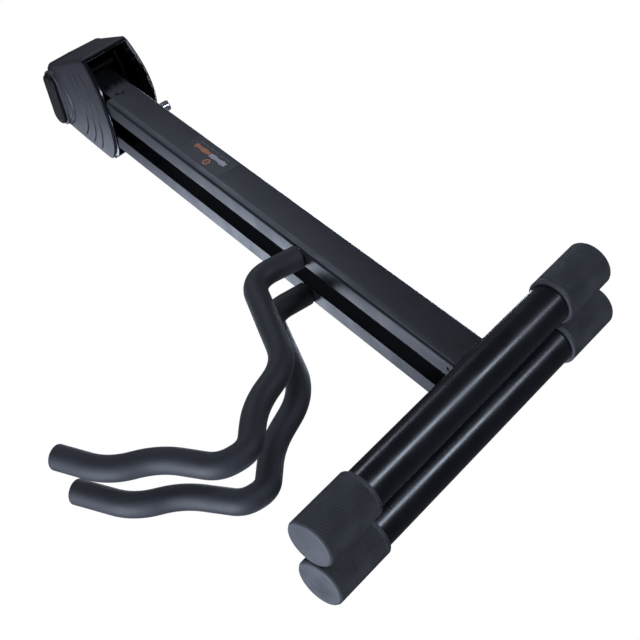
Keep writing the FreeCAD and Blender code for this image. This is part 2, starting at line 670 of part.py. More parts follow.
def cover_screws(name):
    """Pan-head screws let into the rear cover."""
    shapes = []
    for x, z in TOP_SCREWS + SIDE_SCREWS:
        seat = screw_seat(x)
        tip = SIZE["seam_position"] - 9 if z > SIZE["cheek_top"] else SIZE["cheek_rear"] - 0.5
        shank = along_y(x, z, SCREW_RADIUS, tip, seat)
        head = along_y(x, z, 2.7, seat, seat + 1.3)
        cross = Part.makeBox(3.2, 0.9, 0.7, Vector(x - 1.6, seat + 0.7, z - 0.35))
        cross = cross.fuse(Part.makeBox(0.7, 0.9, 3.2, Vector(x - 0.35, seat + 0.7, z - 1.6)))
        shapes.append(shank.fuse(head).cut(cross))
    item = doc.addObject("Part::Feature", name)
    item.Shape = Part.makeCompound(shapes)
    return keep(item, name, at_head())


# ---------------------------------------------------------------- lock pin and label


def lock_barrel(name):
    """Bush pressed into the right leg's rear flange, guiding the lock pin."""
    inner = "dims.web_width / 2 - dims.sheet_thick"
    start = ("dims.pivot_offset", f"{inner} - 8", "dims.lock_height")
    tube = round_bar(f"{name}_tube", "dims.lock_radius + 0.5", "8 + dims.sheet_thick", start, TO_REAR)
    chamber = round_bar(f"{name}_chamber", "dims.lock_radius + 0.08", 40,
                        ("dims.pivot_offset", f"{inner} - 6.5", "dims.lock_height"), TO_REAR)
    guide = round_bar(f"{name}_guide", "dims.lock_shank + 0.05", 40,
                      ("dims.pivot_offset", f"{inner} - 12", "dims.lock_height"), TO_REAR)
    return keep(cut(name, tube, chamber, guide), name)


def lock_pin(name):
    """Chrome pull pin: a bevelled knob outside the flange and a shank inside the leg."""
    outer = "dims.web_width / 2"
    start = ("dims.pivot_offset", f"{outer} - 5.5", "dims.lock_height")
    knob = round_bar(f"{name}_knob", "dims.lock_radius", "dims.lock_proud + 4.5", start, TO_REAR)
    tip = taper(f"{name}_tip", "dims.lock_radius", "dims.lock_radius - 1", 1.0,
                ("dims.pivot_offset", f"{outer} - 1 + dims.lock_proud", "dims.lock_height"), TO_REAR)
    shank = round_bar(f"{name}_shank", "dims.lock_shank", 12,
                      ("dims.pivot_offset", f"{outer} - 17", "dims.lock_height"), TO_REAR)
    return keep(join(name, knob, tip, shank), name)


def lock_clip(name):
    """Retaining ring on the shank that ends the pin's outward pull."""
    start = ("dims.pivot_offset", "dims.web_width / 2 - 16", "dims.lock_height")
    disc = round_bar(f"{name}_disc", "dims.lock_shank + 1.8", 0.8, start, TO_REAR)
    bore = round_bar(f"{name}_bore", "dims.lock_shank + 0.02", 0.8, start, TO_REAR)
    return keep(cut(name, disc, bore), name)


def lock_spring(name):
    """Compression spring between barrel and clip, which draws the pin back in."""
    clip_face = SIZE["web_width"] / 2 - 15.2
    barrel_face = SIZE["web_width"] / 2 - SIZE["sheet_thick"] - 8
    wire = 0.35
    length = barrel_face - clip_face - 2 * wire - 0.04
    turns = 3
    coil = Part.makeHelix(length / turns, length, SIZE["lock_shank"] + 1.0)
    start = coil.Vertexes[0].Point
    ring = Part.Wire(Part.makeCircle(wire, start, Vector(0, 1, 0)))
    shape = Part.Wire(coil.Edges).makePipeShell([ring], True, True)
    shape.Placement = Placement(Vector(SIZE["pivot_offset"], clip_face + wire + 0.02,
                                       SIZE["lock_height"]), TO_REAR)
    item = doc.addObject("Part::Feature", name)
    item.Shape = Part.makeCompound([shape]).copy()
    return keep(item, name)


def label_plate(name):
    """Printed foil label on the right leg's web."""
    foil = block(f"{name}_foil", ("dims.web_face", "-dims.label_front", "dims.label_low"),
                 ("dims.label_thick", "dims.label_front + dims.label_rear",
                  "dims.label_high - dims.label_low"))
    return keep(group(name, foil), name)


for side, sign in SIDES:
    keep(leg_channel(f"leg_channel_{side}", sign), f"leg_channel_{side}")
    hinge_block(f"hinge_block_{side}", sign)
    hinge_bush(f"hinge_bush_{side}", sign)
    block_rivets(f"block_rivets_{side}", sign)
    foot_tube(f"foot_tube_{side}", sign)
    foot_cap(f"foot_cap_front_{side}", sign, True)
    foot_cap(f"foot_cap_rear_{side}", sign, False)
    arm_rod(f"arm_rod_{side}", sign)
    arm_foam(f"arm_foam_{side}", sign)
    hinge_pin(f"hinge_pin_{side}", sign)
head_yoke("head_yoke")
spread_stops("spread_stops")
head_covers()
head_liner("head_liner")
bumper_pad("bumper_pad")
hinge_nuts("hinge_nuts")
hinge_washers("hinge_washers")
cover_screws("cover_screws")
lock_barrel("lock_barrel")
lock_pin("lock_pin")
lock_clip("lock_clip")
lock_spring("lock_spring")
label_plate("label_plate")

doc.recompute()
for item in doc.Objects:
    if "Invalid" in item.State or "Error" in item.State:
        raise RuntimeError(f"{item.Name} failed: {item.State}")
os.makedirs("parts", exist_ok=True)
low = [1e9] * 3
high = [-1e9] * 3
for item in SUBPARTS:
    shape = item.Shape
    if shape.isNull() or not shape.isValid():
        raise RuntimeError(f"{item.Label} has no valid shape")
    shape.exportStep(f"parts/{item.Label}.step")
    box = shape.optimalBoundingBox(False, False)
    low = [min(a, b) for a, b in zip(low, (box.XMin, box.YMin, box.ZMin))]
    high = [max(a, b) for a, b in zip(high, (box.XMax, box.YMax, box.ZMax))]
    print(f"{item.Label:24s} solids {len(shape.Solids)} volume {shape.Volume:10.1f}",
          f"x {box.XMin:7.1f} {box.XMax:7.1f} y {box.YMin:7.1f} {box.YMax:7.1f}",
          f"z {box.ZMin:7.1f} {box.ZMax:7.1f}")
print("outline from", [round(v, 3) for v in low], "to", [round(v, 3) for v in high])
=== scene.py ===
"""Looks of a folding A-frame guitar stand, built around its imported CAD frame."""

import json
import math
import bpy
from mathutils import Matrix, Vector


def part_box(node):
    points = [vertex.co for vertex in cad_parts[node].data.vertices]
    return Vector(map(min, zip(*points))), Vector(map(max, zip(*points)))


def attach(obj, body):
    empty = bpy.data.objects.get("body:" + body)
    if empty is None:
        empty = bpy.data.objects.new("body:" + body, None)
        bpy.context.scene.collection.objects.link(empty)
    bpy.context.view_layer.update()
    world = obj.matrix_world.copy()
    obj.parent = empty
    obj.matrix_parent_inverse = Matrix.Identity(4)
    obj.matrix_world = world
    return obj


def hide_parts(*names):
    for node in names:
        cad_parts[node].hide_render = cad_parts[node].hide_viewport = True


bl_info = {
    "name": "Guitar Stand Looks",
    "version": (1, 0, 0),
    "blender": (4, 5, 0),
    "location": "View3D > Sidebar > Guitar Stand",
    "description": "Builds the finishes and soft parts of a folding guitar stand",
    "category": "Object",
}

import bmesh
import bpy
from bpy.props import FloatProperty, FloatVectorProperty, IntProperty, PointerProperty
from mathutils import Matrix, Vector, noise

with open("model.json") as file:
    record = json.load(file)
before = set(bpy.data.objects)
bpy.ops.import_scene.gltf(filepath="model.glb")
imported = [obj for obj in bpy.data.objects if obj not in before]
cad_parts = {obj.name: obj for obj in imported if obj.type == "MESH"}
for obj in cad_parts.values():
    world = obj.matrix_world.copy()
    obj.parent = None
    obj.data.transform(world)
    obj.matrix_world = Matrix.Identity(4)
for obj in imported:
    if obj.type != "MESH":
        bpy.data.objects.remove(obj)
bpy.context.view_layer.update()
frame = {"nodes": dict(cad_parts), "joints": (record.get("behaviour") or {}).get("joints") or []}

MM = 0.001
SIDES = (("right", 1), ("left", -1))

# The leg frame leans back about X and starts where the legs' middle meets the tubes' axes.
LEG_LEAN = math.radians(13.4)
HEAD_LEAN = math.radians(8.0)
HINGE_HEIGHT = 459.5
HINGE = {joint["name"]: joint for joint in frame["joints"]}["leg_right_hinge"]["pos_m"]
LEG_ORIGIN = Vector((0.0, HINGE[1] - HINGE_HEIGHT * MM * math.sin(LEG_LEAN),
                     HINGE[2] - HINGE_HEIGHT * MM * math.cos(LEG_LEAN)))
HEAD_ORIGIN = Vector((0.0, HINGE[1], HINGE[2]))
LEG_TURN = Matrix.Rotation(-LEG_LEAN, 4, "X")
HEAD_TURN = Matrix.Rotation(-HEAD_LEAN, 4, "X")
LEG_FRAME = Matrix.Translation(LEG_ORIGIN) @ LEG_TURN @ Matrix.Scale(MM, 4)
HEAD_FRAME = Matrix.Translation(HEAD_ORIGIN) @ HEAD_TURN @ Matrix.Scale(MM, 4)

# Sizes of the frame that the looks follow, in millimetres.
ARM_X = 15.1
WEB_FACE = 21.5
FLANGE_EDGE = 8.6
HALF_WEB = 13.4
SHEET = 1.2
LEG_TOP = 452.0
FLANGE_TOP = 414.0
NOTCH_FRONT = -8.0
TUBE_X = 15.8
TUBE_RADIUS = 12.7
ARM_START = 162.0
ARM_CORNERS = {
    "right": [(49.0, 165.0), (76.3, 86.5), (109.0, 70.5), (130.0, 43.5), (149.5, 44.5),
              (170.0, 74.5), (197.0, 87.3), (213.2, 119.0)],
    "left": [(43.5, 163.0), (68.5, 88.5), (107.5, 65.5), (128.0, 39.5), (143.5, 40.0),
             (165.5, 70.0), (191.5, 82.5), (210.5, 118.0)],
}
COVER_HALF = 45.5
COVER_FOOT = -15.0
COVER_FRONT = -21.3
COVER_REAR = 30.7
FRONT_BOW = 8.0
REAR_BOW = 3.7
FRONT_SAG = 30.0
REAR_SAG = 17.0
SHOULDER = (28.0, 27.0)
CROWN = (20.0, 38.5)
SEAM = 2.0
COVER_WALL = 1.8
REAR_FALL = 3.0
PAD_HEIGHT = 27.6
CORNER_EASE = 3.0
PAD_HALF = 14.5
CAP_LENGTH = 42.0
CAP_RADIUS = 15.0
VENT_RADIUS = 1.3
VENT_HEIGHT = 15.3
LOCK_HEIGHT = 381.6
LOCK_HOLE_RADIUS = 4.42
SCREW_PLACES = [(13.0, 32.4), (-13.0, 32.4), (27.0, 2.0), (-27.0, 2.0)]


class StandSettings(bpy.types.PropertyGroup):
    """Sizes and colours of the stand that can be changed."""

    foam_radius: FloatProperty(
        name="Foam Radius", description="Outer radius of the foam sleeves", default=7.75 * MM,
        unit="LENGTH")
    rib_count: IntProperty(
        name="Cap Ribs", description="Fine ribs round each foot cap", default=70, min=12)
    rib_radius: FloatProperty(
        name="Rib Radius", description="Radius of one rib", default=0.58 * MM, unit="LENGTH")
    groove_depth: FloatProperty(
        name="Groove Depth", description="Depth of the grooves in the head's front",
        default=0.9 * MM, unit="LENGTH")
    weld_radius: FloatProperty(
        name="Weld Size", description="Radius of one ripple of a weld bead", default=1.3 * MM,
        unit="LENGTH")
    foam_colour: FloatVectorProperty(
        name="Foam", description="Colour of the foam", subtype="COLOR",
        default=(0.0065, 0.0072, 0.0110))
    steel_colour: FloatVectorProperty(
        name="Legs", description="Colour of the legs' powder coat", subtype="COLOR",
        default=(0.0095, 0.0102, 0.0135))
    shell_colour: FloatVectorProperty(
        name="Head", description="Colour of the head's moulding", subtype="COLOR",
        default=(0.022, 0.022, 0.025))
    rubber_colour: FloatVectorProperty(
        name="Rubber", description="Colour of caps and pad", subtype="COLOR",
        default=(0.038, 0.039, 0.043))
    mark_colour: FloatVectorProperty(
        name="Label Mark", description="Accent colour on the label", subtype="COLOR",
        default=(0.65, 0.22, 0.07))


def settings():
    return bpy.context.scene.guitar_stand


# ------------------------------------------------------------------ materials


def new_material(name, colour, roughness, **inputs):
    """A Principled material whose plain values sit on the shader's own sockets."""
    material = bpy.data.materials.new(name)
    material.use_nodes = True
    shader = material.node_tree.nodes["Principled BSDF"]
    shader.inputs["Base Color"].default_value = (*colour, 1.0)
    shader.inputs["Roughness"].default_value = roughness
    for socket, value in inputs.items():
        shader.inputs[socket.replace("_", " ")].default_value = value
    return material


def object_noise(material, scale, detail=3.0, stretch=(1.0, 1.0, 1.0)):
    """Noise in object space; stretch changes its scale along each axis."""
    nodes = material.node_tree.nodes
    links = material.node_tree.links
    place = nodes.new("ShaderNodeTexCoord")
    mapping = nodes.new("ShaderNodeMapping")
    mapping.inputs["Scale"].default_value = stretch
    texture = nodes.new("ShaderNodeTexNoise")
    texture.inputs["Scale"].default_value = scale
    texture.inputs["Detail"].default_value = detail
    links.new(place.outputs["Object"], mapping.inputs["Vector"])
    links.new(mapping.outputs["Vector"], texture.inputs["Vector"])
    return texture.outputs["Fac"]


def vary_colour(material, source, dark, light, low=0.3, high=0.7):
    ramp = material.node_tree.nodes.new("ShaderNodeValToRGB")
    ramp.color_ramp.elements[0].position = low
    ramp.color_ramp.elements[0].color = (*dark, 1.0)
    ramp.color_ramp.elements[1].position = high
    ramp.color_ramp.elements[1].color = (*light, 1.0)
    shader = material.node_tree.nodes["Principled BSDF"]
    material.node_tree.links.new(source, ramp.inputs["Fac"])
    material.node_tree.links.new(ramp.outputs["Color"], shader.inputs["Base Color"])


def vary_roughness(material, source, low, high):
    spread = material.node_tree.nodes.new("ShaderNodeMapRange")
    spread.inputs["From Min"].default_value = 0.3
    spread.inputs["From Max"].default_value = 0.7
    spread.inputs["To Min"].default_value = low
    spread.inputs["To Max"].default_value = high
    shader = material.node_tree.nodes["Principled BSDF"]
    material.node_tree.links.new(source, spread.inputs["Value"])
    material.node_tree.links.new(spread.outputs["Result"], shader.inputs["Roughness"])


def add_bump(material, sources, distance):
    """Chains one Bump node for each (source, strength)."""
    nodes = material.node_tree.nodes
    links = material.node_tree.links
    before = None
    for source, strength in sources:
        bump = nodes.new("ShaderNodeBump")
        bump.inputs["Strength"].default_value = strength
        bump.inputs["Distance"].default_value = distance
        links.new(source, bump.inputs["Height"])
        if before is not None:
            links.new(before, bump.inputs["Normal"])
        before = bump.outputs["Normal"]
    links.new(before, nodes["Principled BSDF"].inputs["Normal"])


def scaled(colour, factor):
    return tuple(channel * factor for channel in colour)


def powder_coat(name, colour, roughness, coarse=0.10):
    """Satin powder coat: fine orange peel, faint mottling and duller patches."""
    material = new_material(name, colour, roughness, Specular_IOR_Level=0.42)
    mottle = object_noise(material, 60.0, 4.0)
    peel = object_noise(material, 900.0, 2.0)
    grit = object_noise(material, 4200.0, 2.0)
    vary_colour(material, mottle, scaled(colour, 0.85), scaled(colour, 1.15))
    vary_roughness(material, mottle, roughness - 0.05, roughness + 0.05)
    add_bump(material, [(peel, coarse), (grit, coarse * 0.6)], 0.0004)
    return material


def foam_skin(colour):
    """Closed-cell foam: matt grainy skin with tiny open cells and a soft sheen."""
    material = new_material("foam_skin", colour, 0.62, Specular_IOR_Level=0.5, Sheen_Weight=0.08,
                            Sheen_Roughness=0.5)
    shade = object_noise(material, 45.0, 4.0)
    cells = object_noise(material, 2600.0, 3.0)
    pits = object_noise(material, 900.0, 4.0)
    vary_colour(material, shade, scaled(colour, 0.8), scaled(colour, 1.25))
    vary_roughness(material, shade, 0.56, 0.68)
    add_bump(material, [(cells, 0.35), (pits, 0.18)], 0.0006)
    return material


def moulded_rubber(name, colour, roughness=0.66):
    """Rubber with a fine spark-eroded grain and paler handling marks."""
    material = new_material(name, colour, roughness, Specular_IOR_Level=0.45)
    dust = object_noise(material, 80.0, 5.0)
    grain = object_noise(material, 3600.0, 2.0)
    vary_colour(material, dust, scaled(colour, 0.75), scaled(colour, 1.35))
    vary_roughness(material, dust, roughness - 0.07, roughness + 0.07)
    add_bump(material, [(grain, 0.12)], 0.0003)
    return material


def moulded_plastic(name, colour, roughness, grain_strength):
    """Plastic moulding with an etched grain."""
    material = new_material(name, colour, roughness, Specular_IOR_Level=0.45)
    cloud = object_noise(material, 35.0, 4.0)
    grain = object_noise(material, 2400.0, 3.0)
    vary_colour(material, cloud, scaled(colour, 0.9), scaled(colour, 1.12))
    vary_roughness(material, cloud, roughness - 0.04, roughness + 0.04)
    add_bump(material, [(grain, grain_strength)], 0.0004)
    return material


def bare_metal(name, colour, roughness, stretch=(1.0, 1.0, 1.0), strength=0.08):
    """Plated or polished metal with faint drawn lines and small stains."""
    material = new_material(name, colour, roughness, Metallic=1.0)
    stain = object_noise(material, 120.0, 4.0)
    lines = object_noise(material, 1500.0, 2.0, stretch)
    vary_colour(material, stain, scaled(colour, 0.85), colour)
    vary_roughness(material, stain, max(0.03, roughness - 0.04), roughness + 0.05)
    add_bump(material, [(lines, strength)], 0.0002)
    return material


def dull(material, specular):
    """Weakens a finish's reflections."""
    shader = material.node_tree.nodes["Principled BSDF"]
    shader.inputs["Specular IOR Level"].default_value = specular
    return material


def shell_plastic(colour):
    """Etched shell plastic with painted shade: near black and without reflections where the
    mesh's groove value is high.
    """
    material = moulded_plastic("head_shell_plastic", colour, 0.52, 0.22)
    nodes = material.node_tree.nodes
    links = material.node_tree.links
    shader = nodes["Principled BSDF"]
    base = shader.inputs["Base Color"].links[0].from_socket
    painted_groove_shade = nodes.new("ShaderNodeAttribute")
    painted_groove_shade.attribute_name = "groove"
    # Painted shade: where the groove value is high the base colour goes near black and the
    # reflections go out.
    for label, before, dark in (("Base Color", base, (0.001, 0.001, 0.001, 1.0)),
                                ("Specular IOR Level", None, (0.0, 0.0, 0.0, 1.0))):
        mix = nodes.new("ShaderNodeMixRGB")
        mix.inputs["Color1"].default_value = (0.45, 0.45, 0.45, 1.0)
        mix.inputs["Color2"].default_value = dark
        links.new(painted_groove_shade.outputs["Fac"], mix.inputs["Fac"])
        if before is not None:
            links.new(before, mix.inputs["Color1"])
        links.new(mix.outputs["Color"], shader.inputs[label])
    return material


MATERIALS = {}


def material_for(kind):
    """Makes each finish once and gives it back."""
    if kind not in MATERIALS:
        chosen = settings()
        makers = {
            "legs": lambda: powder_coat("leg_powder_coat", tuple(chosen.steel_colour), 0.42),
            "gloss": lambda: powder_coat("gloss_black_coat", (0.006, 0.006, 0.009), 0.27, 0.015),
            "foam": lambda: foam_skin(tuple(chosen.foam_colour)),
            "caps": lambda: moulded_rubber("cap_rubber", tuple(chosen.rubber_colour)),
            "pad": lambda: dull(moulded_rubber(
                "pad_rubber", scaled(chosen.rubber_colour, 0.04), 0.6), 0.2),
            "shell": lambda: shell_plastic(tuple(chosen.shell_colour)),
            "liner": lambda: moulded_plastic(
                "liner_gloss_plastic", (0.003, 0.003, 0.004), 0.14, 0.004),
            # Near black with weak reflections: painted shade for the hinge parts deep in the
            # head, which lie in its shadow.
            "shade_painted": lambda: dull(moulded_plastic(
                "painted_shade_black", (0.0006, 0.0006, 0.0008), 0.6, 0.1), 0.08),
            "zinc": lambda: bare_metal("zinc_plate", (0.42, 0.43, 0.45), 0.32),
            "chrome": lambda: bare_metal("chrome_plate", (0.78, 0.78, 0.80), 0.06, strength=0.02),
            "bronze": lambda: bare_metal("oiled_bronze", (0.40, 0.26, 0.12), 0.38),
            "weld": lambda: powder_coat("coated_weld", (0.009, 0.009, 0.012), 0.2, 0.12),
            "label": lambda: moulded_plastic("label_film", (0.008, 0.008, 0.012), 0.38, 0.05),
            "mark": lambda: moulded_plastic(
                "label_ink_accent", tuple(chosen.mark_colour), 0.5, 0.05),
            "ink": lambda: moulded_plastic("label_ink_white", (0.6, 0.6, 0.62), 0.5, 0.05),
            "faint": lambda: moulded_plastic("label_ink_grey", (0.11, 0.11, 0.13), 0.5, 0.05),
        }
        MATERIALS[kind] = makers[kind]()
    return MATERIALS[kind]


# ------------------------------------------------------------------ mesh helpers


def piece_from(name, mesh, material, sharp=40.0):
    """Puts a mesh in the scene as a smooth-shaded piece whose sharp edges stay sharp."""
    mesh.name = name
    mesh.materials.clear()
    mesh.materials.append(material)
    for polygon in mesh.polygons:
        polygon.material_index = 0
    mesh.shade_smooth()
    mesh.set_sharp_from_angle(angle=math.radians(sharp))
    piece = bpy.data.objects.new(name, mesh)
    bpy.context.scene.collection.objects.link(piece)
    return piece


def mesh_from(verts, faces, matrix=None, recalculate=True):
    mesh = bpy.data.meshes.new("shape")
    mesh.from_pydata([tuple(v) for v in verts], [], faces)
    if matrix is not None:
        mesh.transform(matrix)
    tidy_mesh(mesh, recalculate)
    return mesh


def tidy_mesh(mesh, recalculate=True):
    shape = bmesh.new()
    shape.from_mesh(mesh)
    bmesh.ops.remove_doubles(shape, verts=shape.verts, dist=1e-6)
    if recalculate:
        bmesh.ops.recalc_face_normals(shape, faces=shape.faces)
    shape.to_mesh(mesh)
    shape.free()


def joined(meshes):
    """One mesh from several."""
    whole = bmesh.new()
    for mesh in meshes:
        whole.from_mesh(mesh)
    result = bpy.data.meshes.new("joined")
    whole.to_mesh(result)
    whole.free()
    return result


def settled(piece):
    """Plain mesh of an object with its modifiers applied; the object is removed."""
    bpy.context.view_layer.update()
    graph = bpy.context.evaluated_depsgraph_get()
    mesh = bpy.data.meshes.new_from_object(piece.evaluated_get(graph), depsgraph=graph)
    bpy.data.objects.remove(piece)
    return mesh


def temporary(mesh):
    thing = bpy.data.objects.new("work", mesh)
    bpy.context.scene.collection.objects.link(thing)
    return thing


def lathe(profile, segments, matrix):
    """Turns (radius, height) points about Z; a profile ends on the axis or where it starts."""
    verts = []
    faces = []
    rings = []
    for radius, height in profile:
        if radius < 1e-9:
            rings.append([len(verts)])
            verts.append((0.0, 0.0, height))
            continue
        ring = []
        for k in range(segments):
            angle = 2 * math.pi * k / segments
            ring.append(len(verts))
            verts.append((radius * math.cos(angle), radius * math.sin(angle), height))
        rings.append(ring)
    for low, high in zip(rings, rings[1:]):
        for k in range(segments):
            after = (k + 1) % segments
            corners = [low[k % len(low)], low[after % len(low)], high[after % len(high)],
                       high[k % len(high)]]
            faces.append(list(dict.fromkeys(corners)))
    faces = [face for face in faces if len(face) > 2]
    return mesh_from(verts, faces, matrix)


def arc_points(centre, radius, start, finish, steps):
    """Points (radius, height) round a quarter or so of a circle; angles in degrees."""
    points = []
    for k in range(steps + 1):
        angle = math.radians(start + (finish - start) * k / steps)
        points.append((centre[0] + radius * math.cos(angle),
                       centre[1] + radius * math.sin(angle)))
    return points


def bands(rings):
    """Faces between neighbouring rings that have equal counts."""
    return [[low[k], low[(k + 1) % len(low)], high[(k + 1) % len(low)], high[k]]
            for low, high in zip(rings, rings[1:]) for k in range(len(low))]


def smoothstep(low, high, value):
    t = min(1.0, max(0.0, (value - low) / (high - low)))
    return t * t * (3 - 2 * t)


def finish_piece(piece, body, slot, *nodes):
    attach(piece, body)
    if nodes:
        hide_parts(*nodes)
    return piece


# ------------------------------------------------------------------ node trees


def node_tree(name, inputs):
    """A Geometry Nodes tree with the given (kind, name, default) inputs and one output."""
    tree = bpy.data.node_groups.new(name, "GeometryNodeTree")
    sockets = {}
    for kind, label, default in inputs:
        socket = tree.interface.new_socket(label, in_out="INPUT", socket_type=kind)
        if default is not None:
            socket.default_value = default
        sockets[label] = socket.identifier
    tree.interface.new_socket("Geometry", in_out="OUTPUT", socket_type="NodeSocketGeometry")
    return tree, sockets


def wire(tree, source, out_name, target, in_name):
    tree.links.new(source.outputs[out_name], target.inputs[in_name])


def end_tree(tree, last, group_in):
    """Realizes the instances, sets the material and ends the tree."""
    realize = tree.nodes.new("GeometryNodeRealizeInstances")
    paint = tree.nodes.new("GeometryNodeSetMaterial")
    out = tree.nodes.new("NodeGroupOutput")
    tree.links.new(last, realize.inputs["Geometry"])
    wire(tree, realize, "Geometry", paint, "Geometry")
    wire(tree, group_in, "Material", paint, "Material")
    wire(tree, paint, "Geometry", out, "Geometry")


def rib_tree():
    """Ribs with rounded ends standing in a ring about Z."""
    tree, sockets = node_tree("cap_ribs", [
        ("NodeSocketInt", "Count", 70), ("NodeSocketFloat", "Ring Radius", 14.6 * MM),
        ("NodeSocketFloat", "Rib Radius", 0.42 * MM), ("NodeSocketFloat", "Length", 38 * MM),
        ("NodeSocketMaterial", "Material", None)])
    nodes = tree.nodes
    entry = nodes.new("NodeGroupInput")
    ring = nodes.new("GeometryNodeMeshCircle")
    wire(tree, entry, "Count", ring, "Vertices")
    wire(tree, entry, "Ring Radius", ring, "Radius")
    top = nodes.new("ShaderNodeCombineXYZ")
    wire(tree, entry, "Length", top, "Z")
    line = nodes.new("GeometryNodeCurvePrimitiveLine")
    wire(tree, top, "Vector", line, "End")
    dense = nodes.new("GeometryNodeResampleCurve")
    dense.inputs["Count"].default_value = 15
    wire(tree, line, "Curve", dense, "Curve")
    along = nodes.new("GeometryNodeSplineParameter")
    from_middle = nodes.new("ShaderNodeMath")
    from_middle.operation = "MULTIPLY_ADD"
    from_middle.inputs[1].default_value = 2.0
    from_middle.inputs[2].default_value = -1.0
    wire(tree, along, "Factor", from_middle, 0)
    steep = nodes.new("ShaderNodeMath")
    steep.operation = "POWER"
    steep.inputs[1].default_value = 20.0
    wire(tree, from_middle, 0, steep, 0)
    round_end = nodes.new("ShaderNodeMath")
    round_end.operation = "SUBTRACT"
    round_end.inputs[0].default_value = 1.02
    wire(tree, steep, 0, round_end, 1)
    root = nodes.new("ShaderNodeMath")
    root.operation = "SQRT"
    wire(tree, round_end, 0, root, 0)
    swell = nodes.new("GeometryNodeSetCurveRadius")
    wire(tree, dense, "Curve", swell, "Curve")
    wire(tree, root, 0, swell, "Radius")
    section = nodes.new("GeometryNodeCurvePrimitiveCircle")
    section.inputs["Resolution"].default_value = 8
    wire(tree, entry, "Rib Radius", section, "Radius")
    rib = nodes.new("GeometryNodeCurveToMesh")
    rib.inputs["Fill Caps"].default_value = True
    wire(tree, swell, "Curve", rib, "Curve")
    wire(tree, section, "Curve", rib, "Profile Curve")
    spread = nodes.new("GeometryNodeInstanceOnPoints")
    wire(tree, ring, "Mesh", spread, "Points")
    wire(tree, rib, "Mesh", spread, "Instance")
    end_tree(tree, spread.outputs["Instances"], entry)
    return tree, sockets


def bead_tree():
    """Flattened drops set close together along the edges of the input mesh: a weld's ripples."""
    tree, sockets = node_tree("weld_ripples", [
        ("NodeSocketGeometry", "Path", None), ("NodeSocketFloat", "Radius", 1.3 * MM),
        ("NodeSocketFloat", "Spacing", 0.9 * MM), ("NodeSocketInt", "Seed", 3),
        ("NodeSocketMaterial", "Material", None)])
    nodes = tree.nodes
    entry = nodes.new("NodeGroupInput")
    path = nodes.new("GeometryNodeMeshToCurve")
    wire(tree, entry, "Path", path, "Mesh")
    points = nodes.new("GeometryNodeCurveToPoints")
    points.mode = "LENGTH"
    wire(tree, path, "Curve", points, "Curve")
    wire(tree, entry, "Spacing", points, "Length")
    drop = nodes.new("GeometryNodeMeshIcoSphere")
    drop.inputs["Subdivisions"].default_value = 2
    wire(tree, entry, "Radius", drop, "Radius")
    uneven = nodes.new("FunctionNodeRandomValue")
    uneven.data_type = "FLOAT_VECTOR"
    uneven.inputs[0].default_value = (0.85, 0.85, 0.85)
    uneven.inputs[1].default_value = (1.15, 1.15, 1.15)
    wire(tree, entry, "Seed", uneven, "Seed")
    spread = nodes.new("GeometryNodeInstanceOnPoints")
    wire(tree, points, "Points", spread, "Points")
    wire(tree, drop, "Mesh", spread, "Instance")
    tree.links.new(uneven.outputs[0], spread.inputs["Scale"])
    end_tree(tree, spread.outputs["Instances"], entry)
    return tree, sockets


def grown(tree_and_sockets, mesh, **values):
    """Runs a node tree over a mesh and gives the plain mesh that comes out."""
    tree, sockets = tree_and_sockets
    thing = temporary(mesh)
    modifier = thing.modifiers.new("nodes", "NODES")
    modifier.node_group = tree
    for label, value in values.items():
        modifier[sockets[label.replace("_", " ")]] = value
    return settled(thing)


# ------------------------------------------------------------------ legs


def channel_outline(sign):
    """Outer and inner skin of the bent sheet in the leg frame, front edge to rear edge."""
    outer_bend = 2.0
    inner_bend = outer_bend - SHEET
    corner_x = WEB_FACE - outer_bend
    corner_y = HALF_WEB - outer_bend
    outer = []
    inner = []
    for radius, skin in ((outer_bend, outer), (inner_bend, inner)):
        skin.append((FLANGE_EDGE, -corner_y - radius))
        skin += [(corner_x + r, -corner_y + a) for r, a in arc_points((0, 0), radius, -90, 0, 8)]
        skin += [(corner_x + radius, NOTCH_FRONT), (corner_x + radius, NOTCH_FRONT)]
        skin += [(corner_x + r, corner_y + a) for r, a in arc_points((0, 0), radius, 0, 90, 8)]
        skin.append((FLANGE_EDGE, corner_y + radius))
    return [(sign * x, y) for x, y in outer], [(sign * x, y) for x, y in inner]


def tube_top(x, y):
    """Height in the leg frame at which a line along the leg meets the foot tube's skin."""
    across = abs(x) - TUBE_X
    rise = math.sqrt(TUBE_RADIUS ** 2 - across ** 2)
    return (rise + y * math.sin(LEG_LEAN)) / math.cos(LEG_LEAN)


def channel_mesh(sign):
    outer, inner = channel_outline(sign)
    notch_at = outer.index((sign * WEB_FACE, NOTCH_FRONT))
    verts = []
    faces = []
    for skin in (outer, inner):
        for index, (x, y) in enumerate(skin):
            top = FLANGE_TOP if index <= notch_at else LEG_TOP
            verts.append((x, y, tube_top(x, y) - 0.4))
            verts.append((x, y, top))
    count = len(outer)

    def corner(skin, index, upper):
        return 2 * (skin * count + index) + upper

    for i in range(count - 1):
        for skin in (0, 1):
            faces.append([corner(skin, i, 0), corner(skin, i + 1, 0), corner(skin, i + 1, 1),
                          corner(skin, i, 1)])
        for upper in (0, 1):
            faces.append([corner(0, i, upper), corner(0, i + 1, upper), corner(1, i + 1, upper),
                          corner(1, i, upper)])
    for i in (0, count - 1):
        faces.append([corner(0, i, 0), corner(0, i, 1), corner(1, i, 1), corner(1, i, 0)])
    faces = [face for face in faces if len({verts[k] for k in face}) > 2]
    return mesh_from(verts, faces, LEG_FRAME)


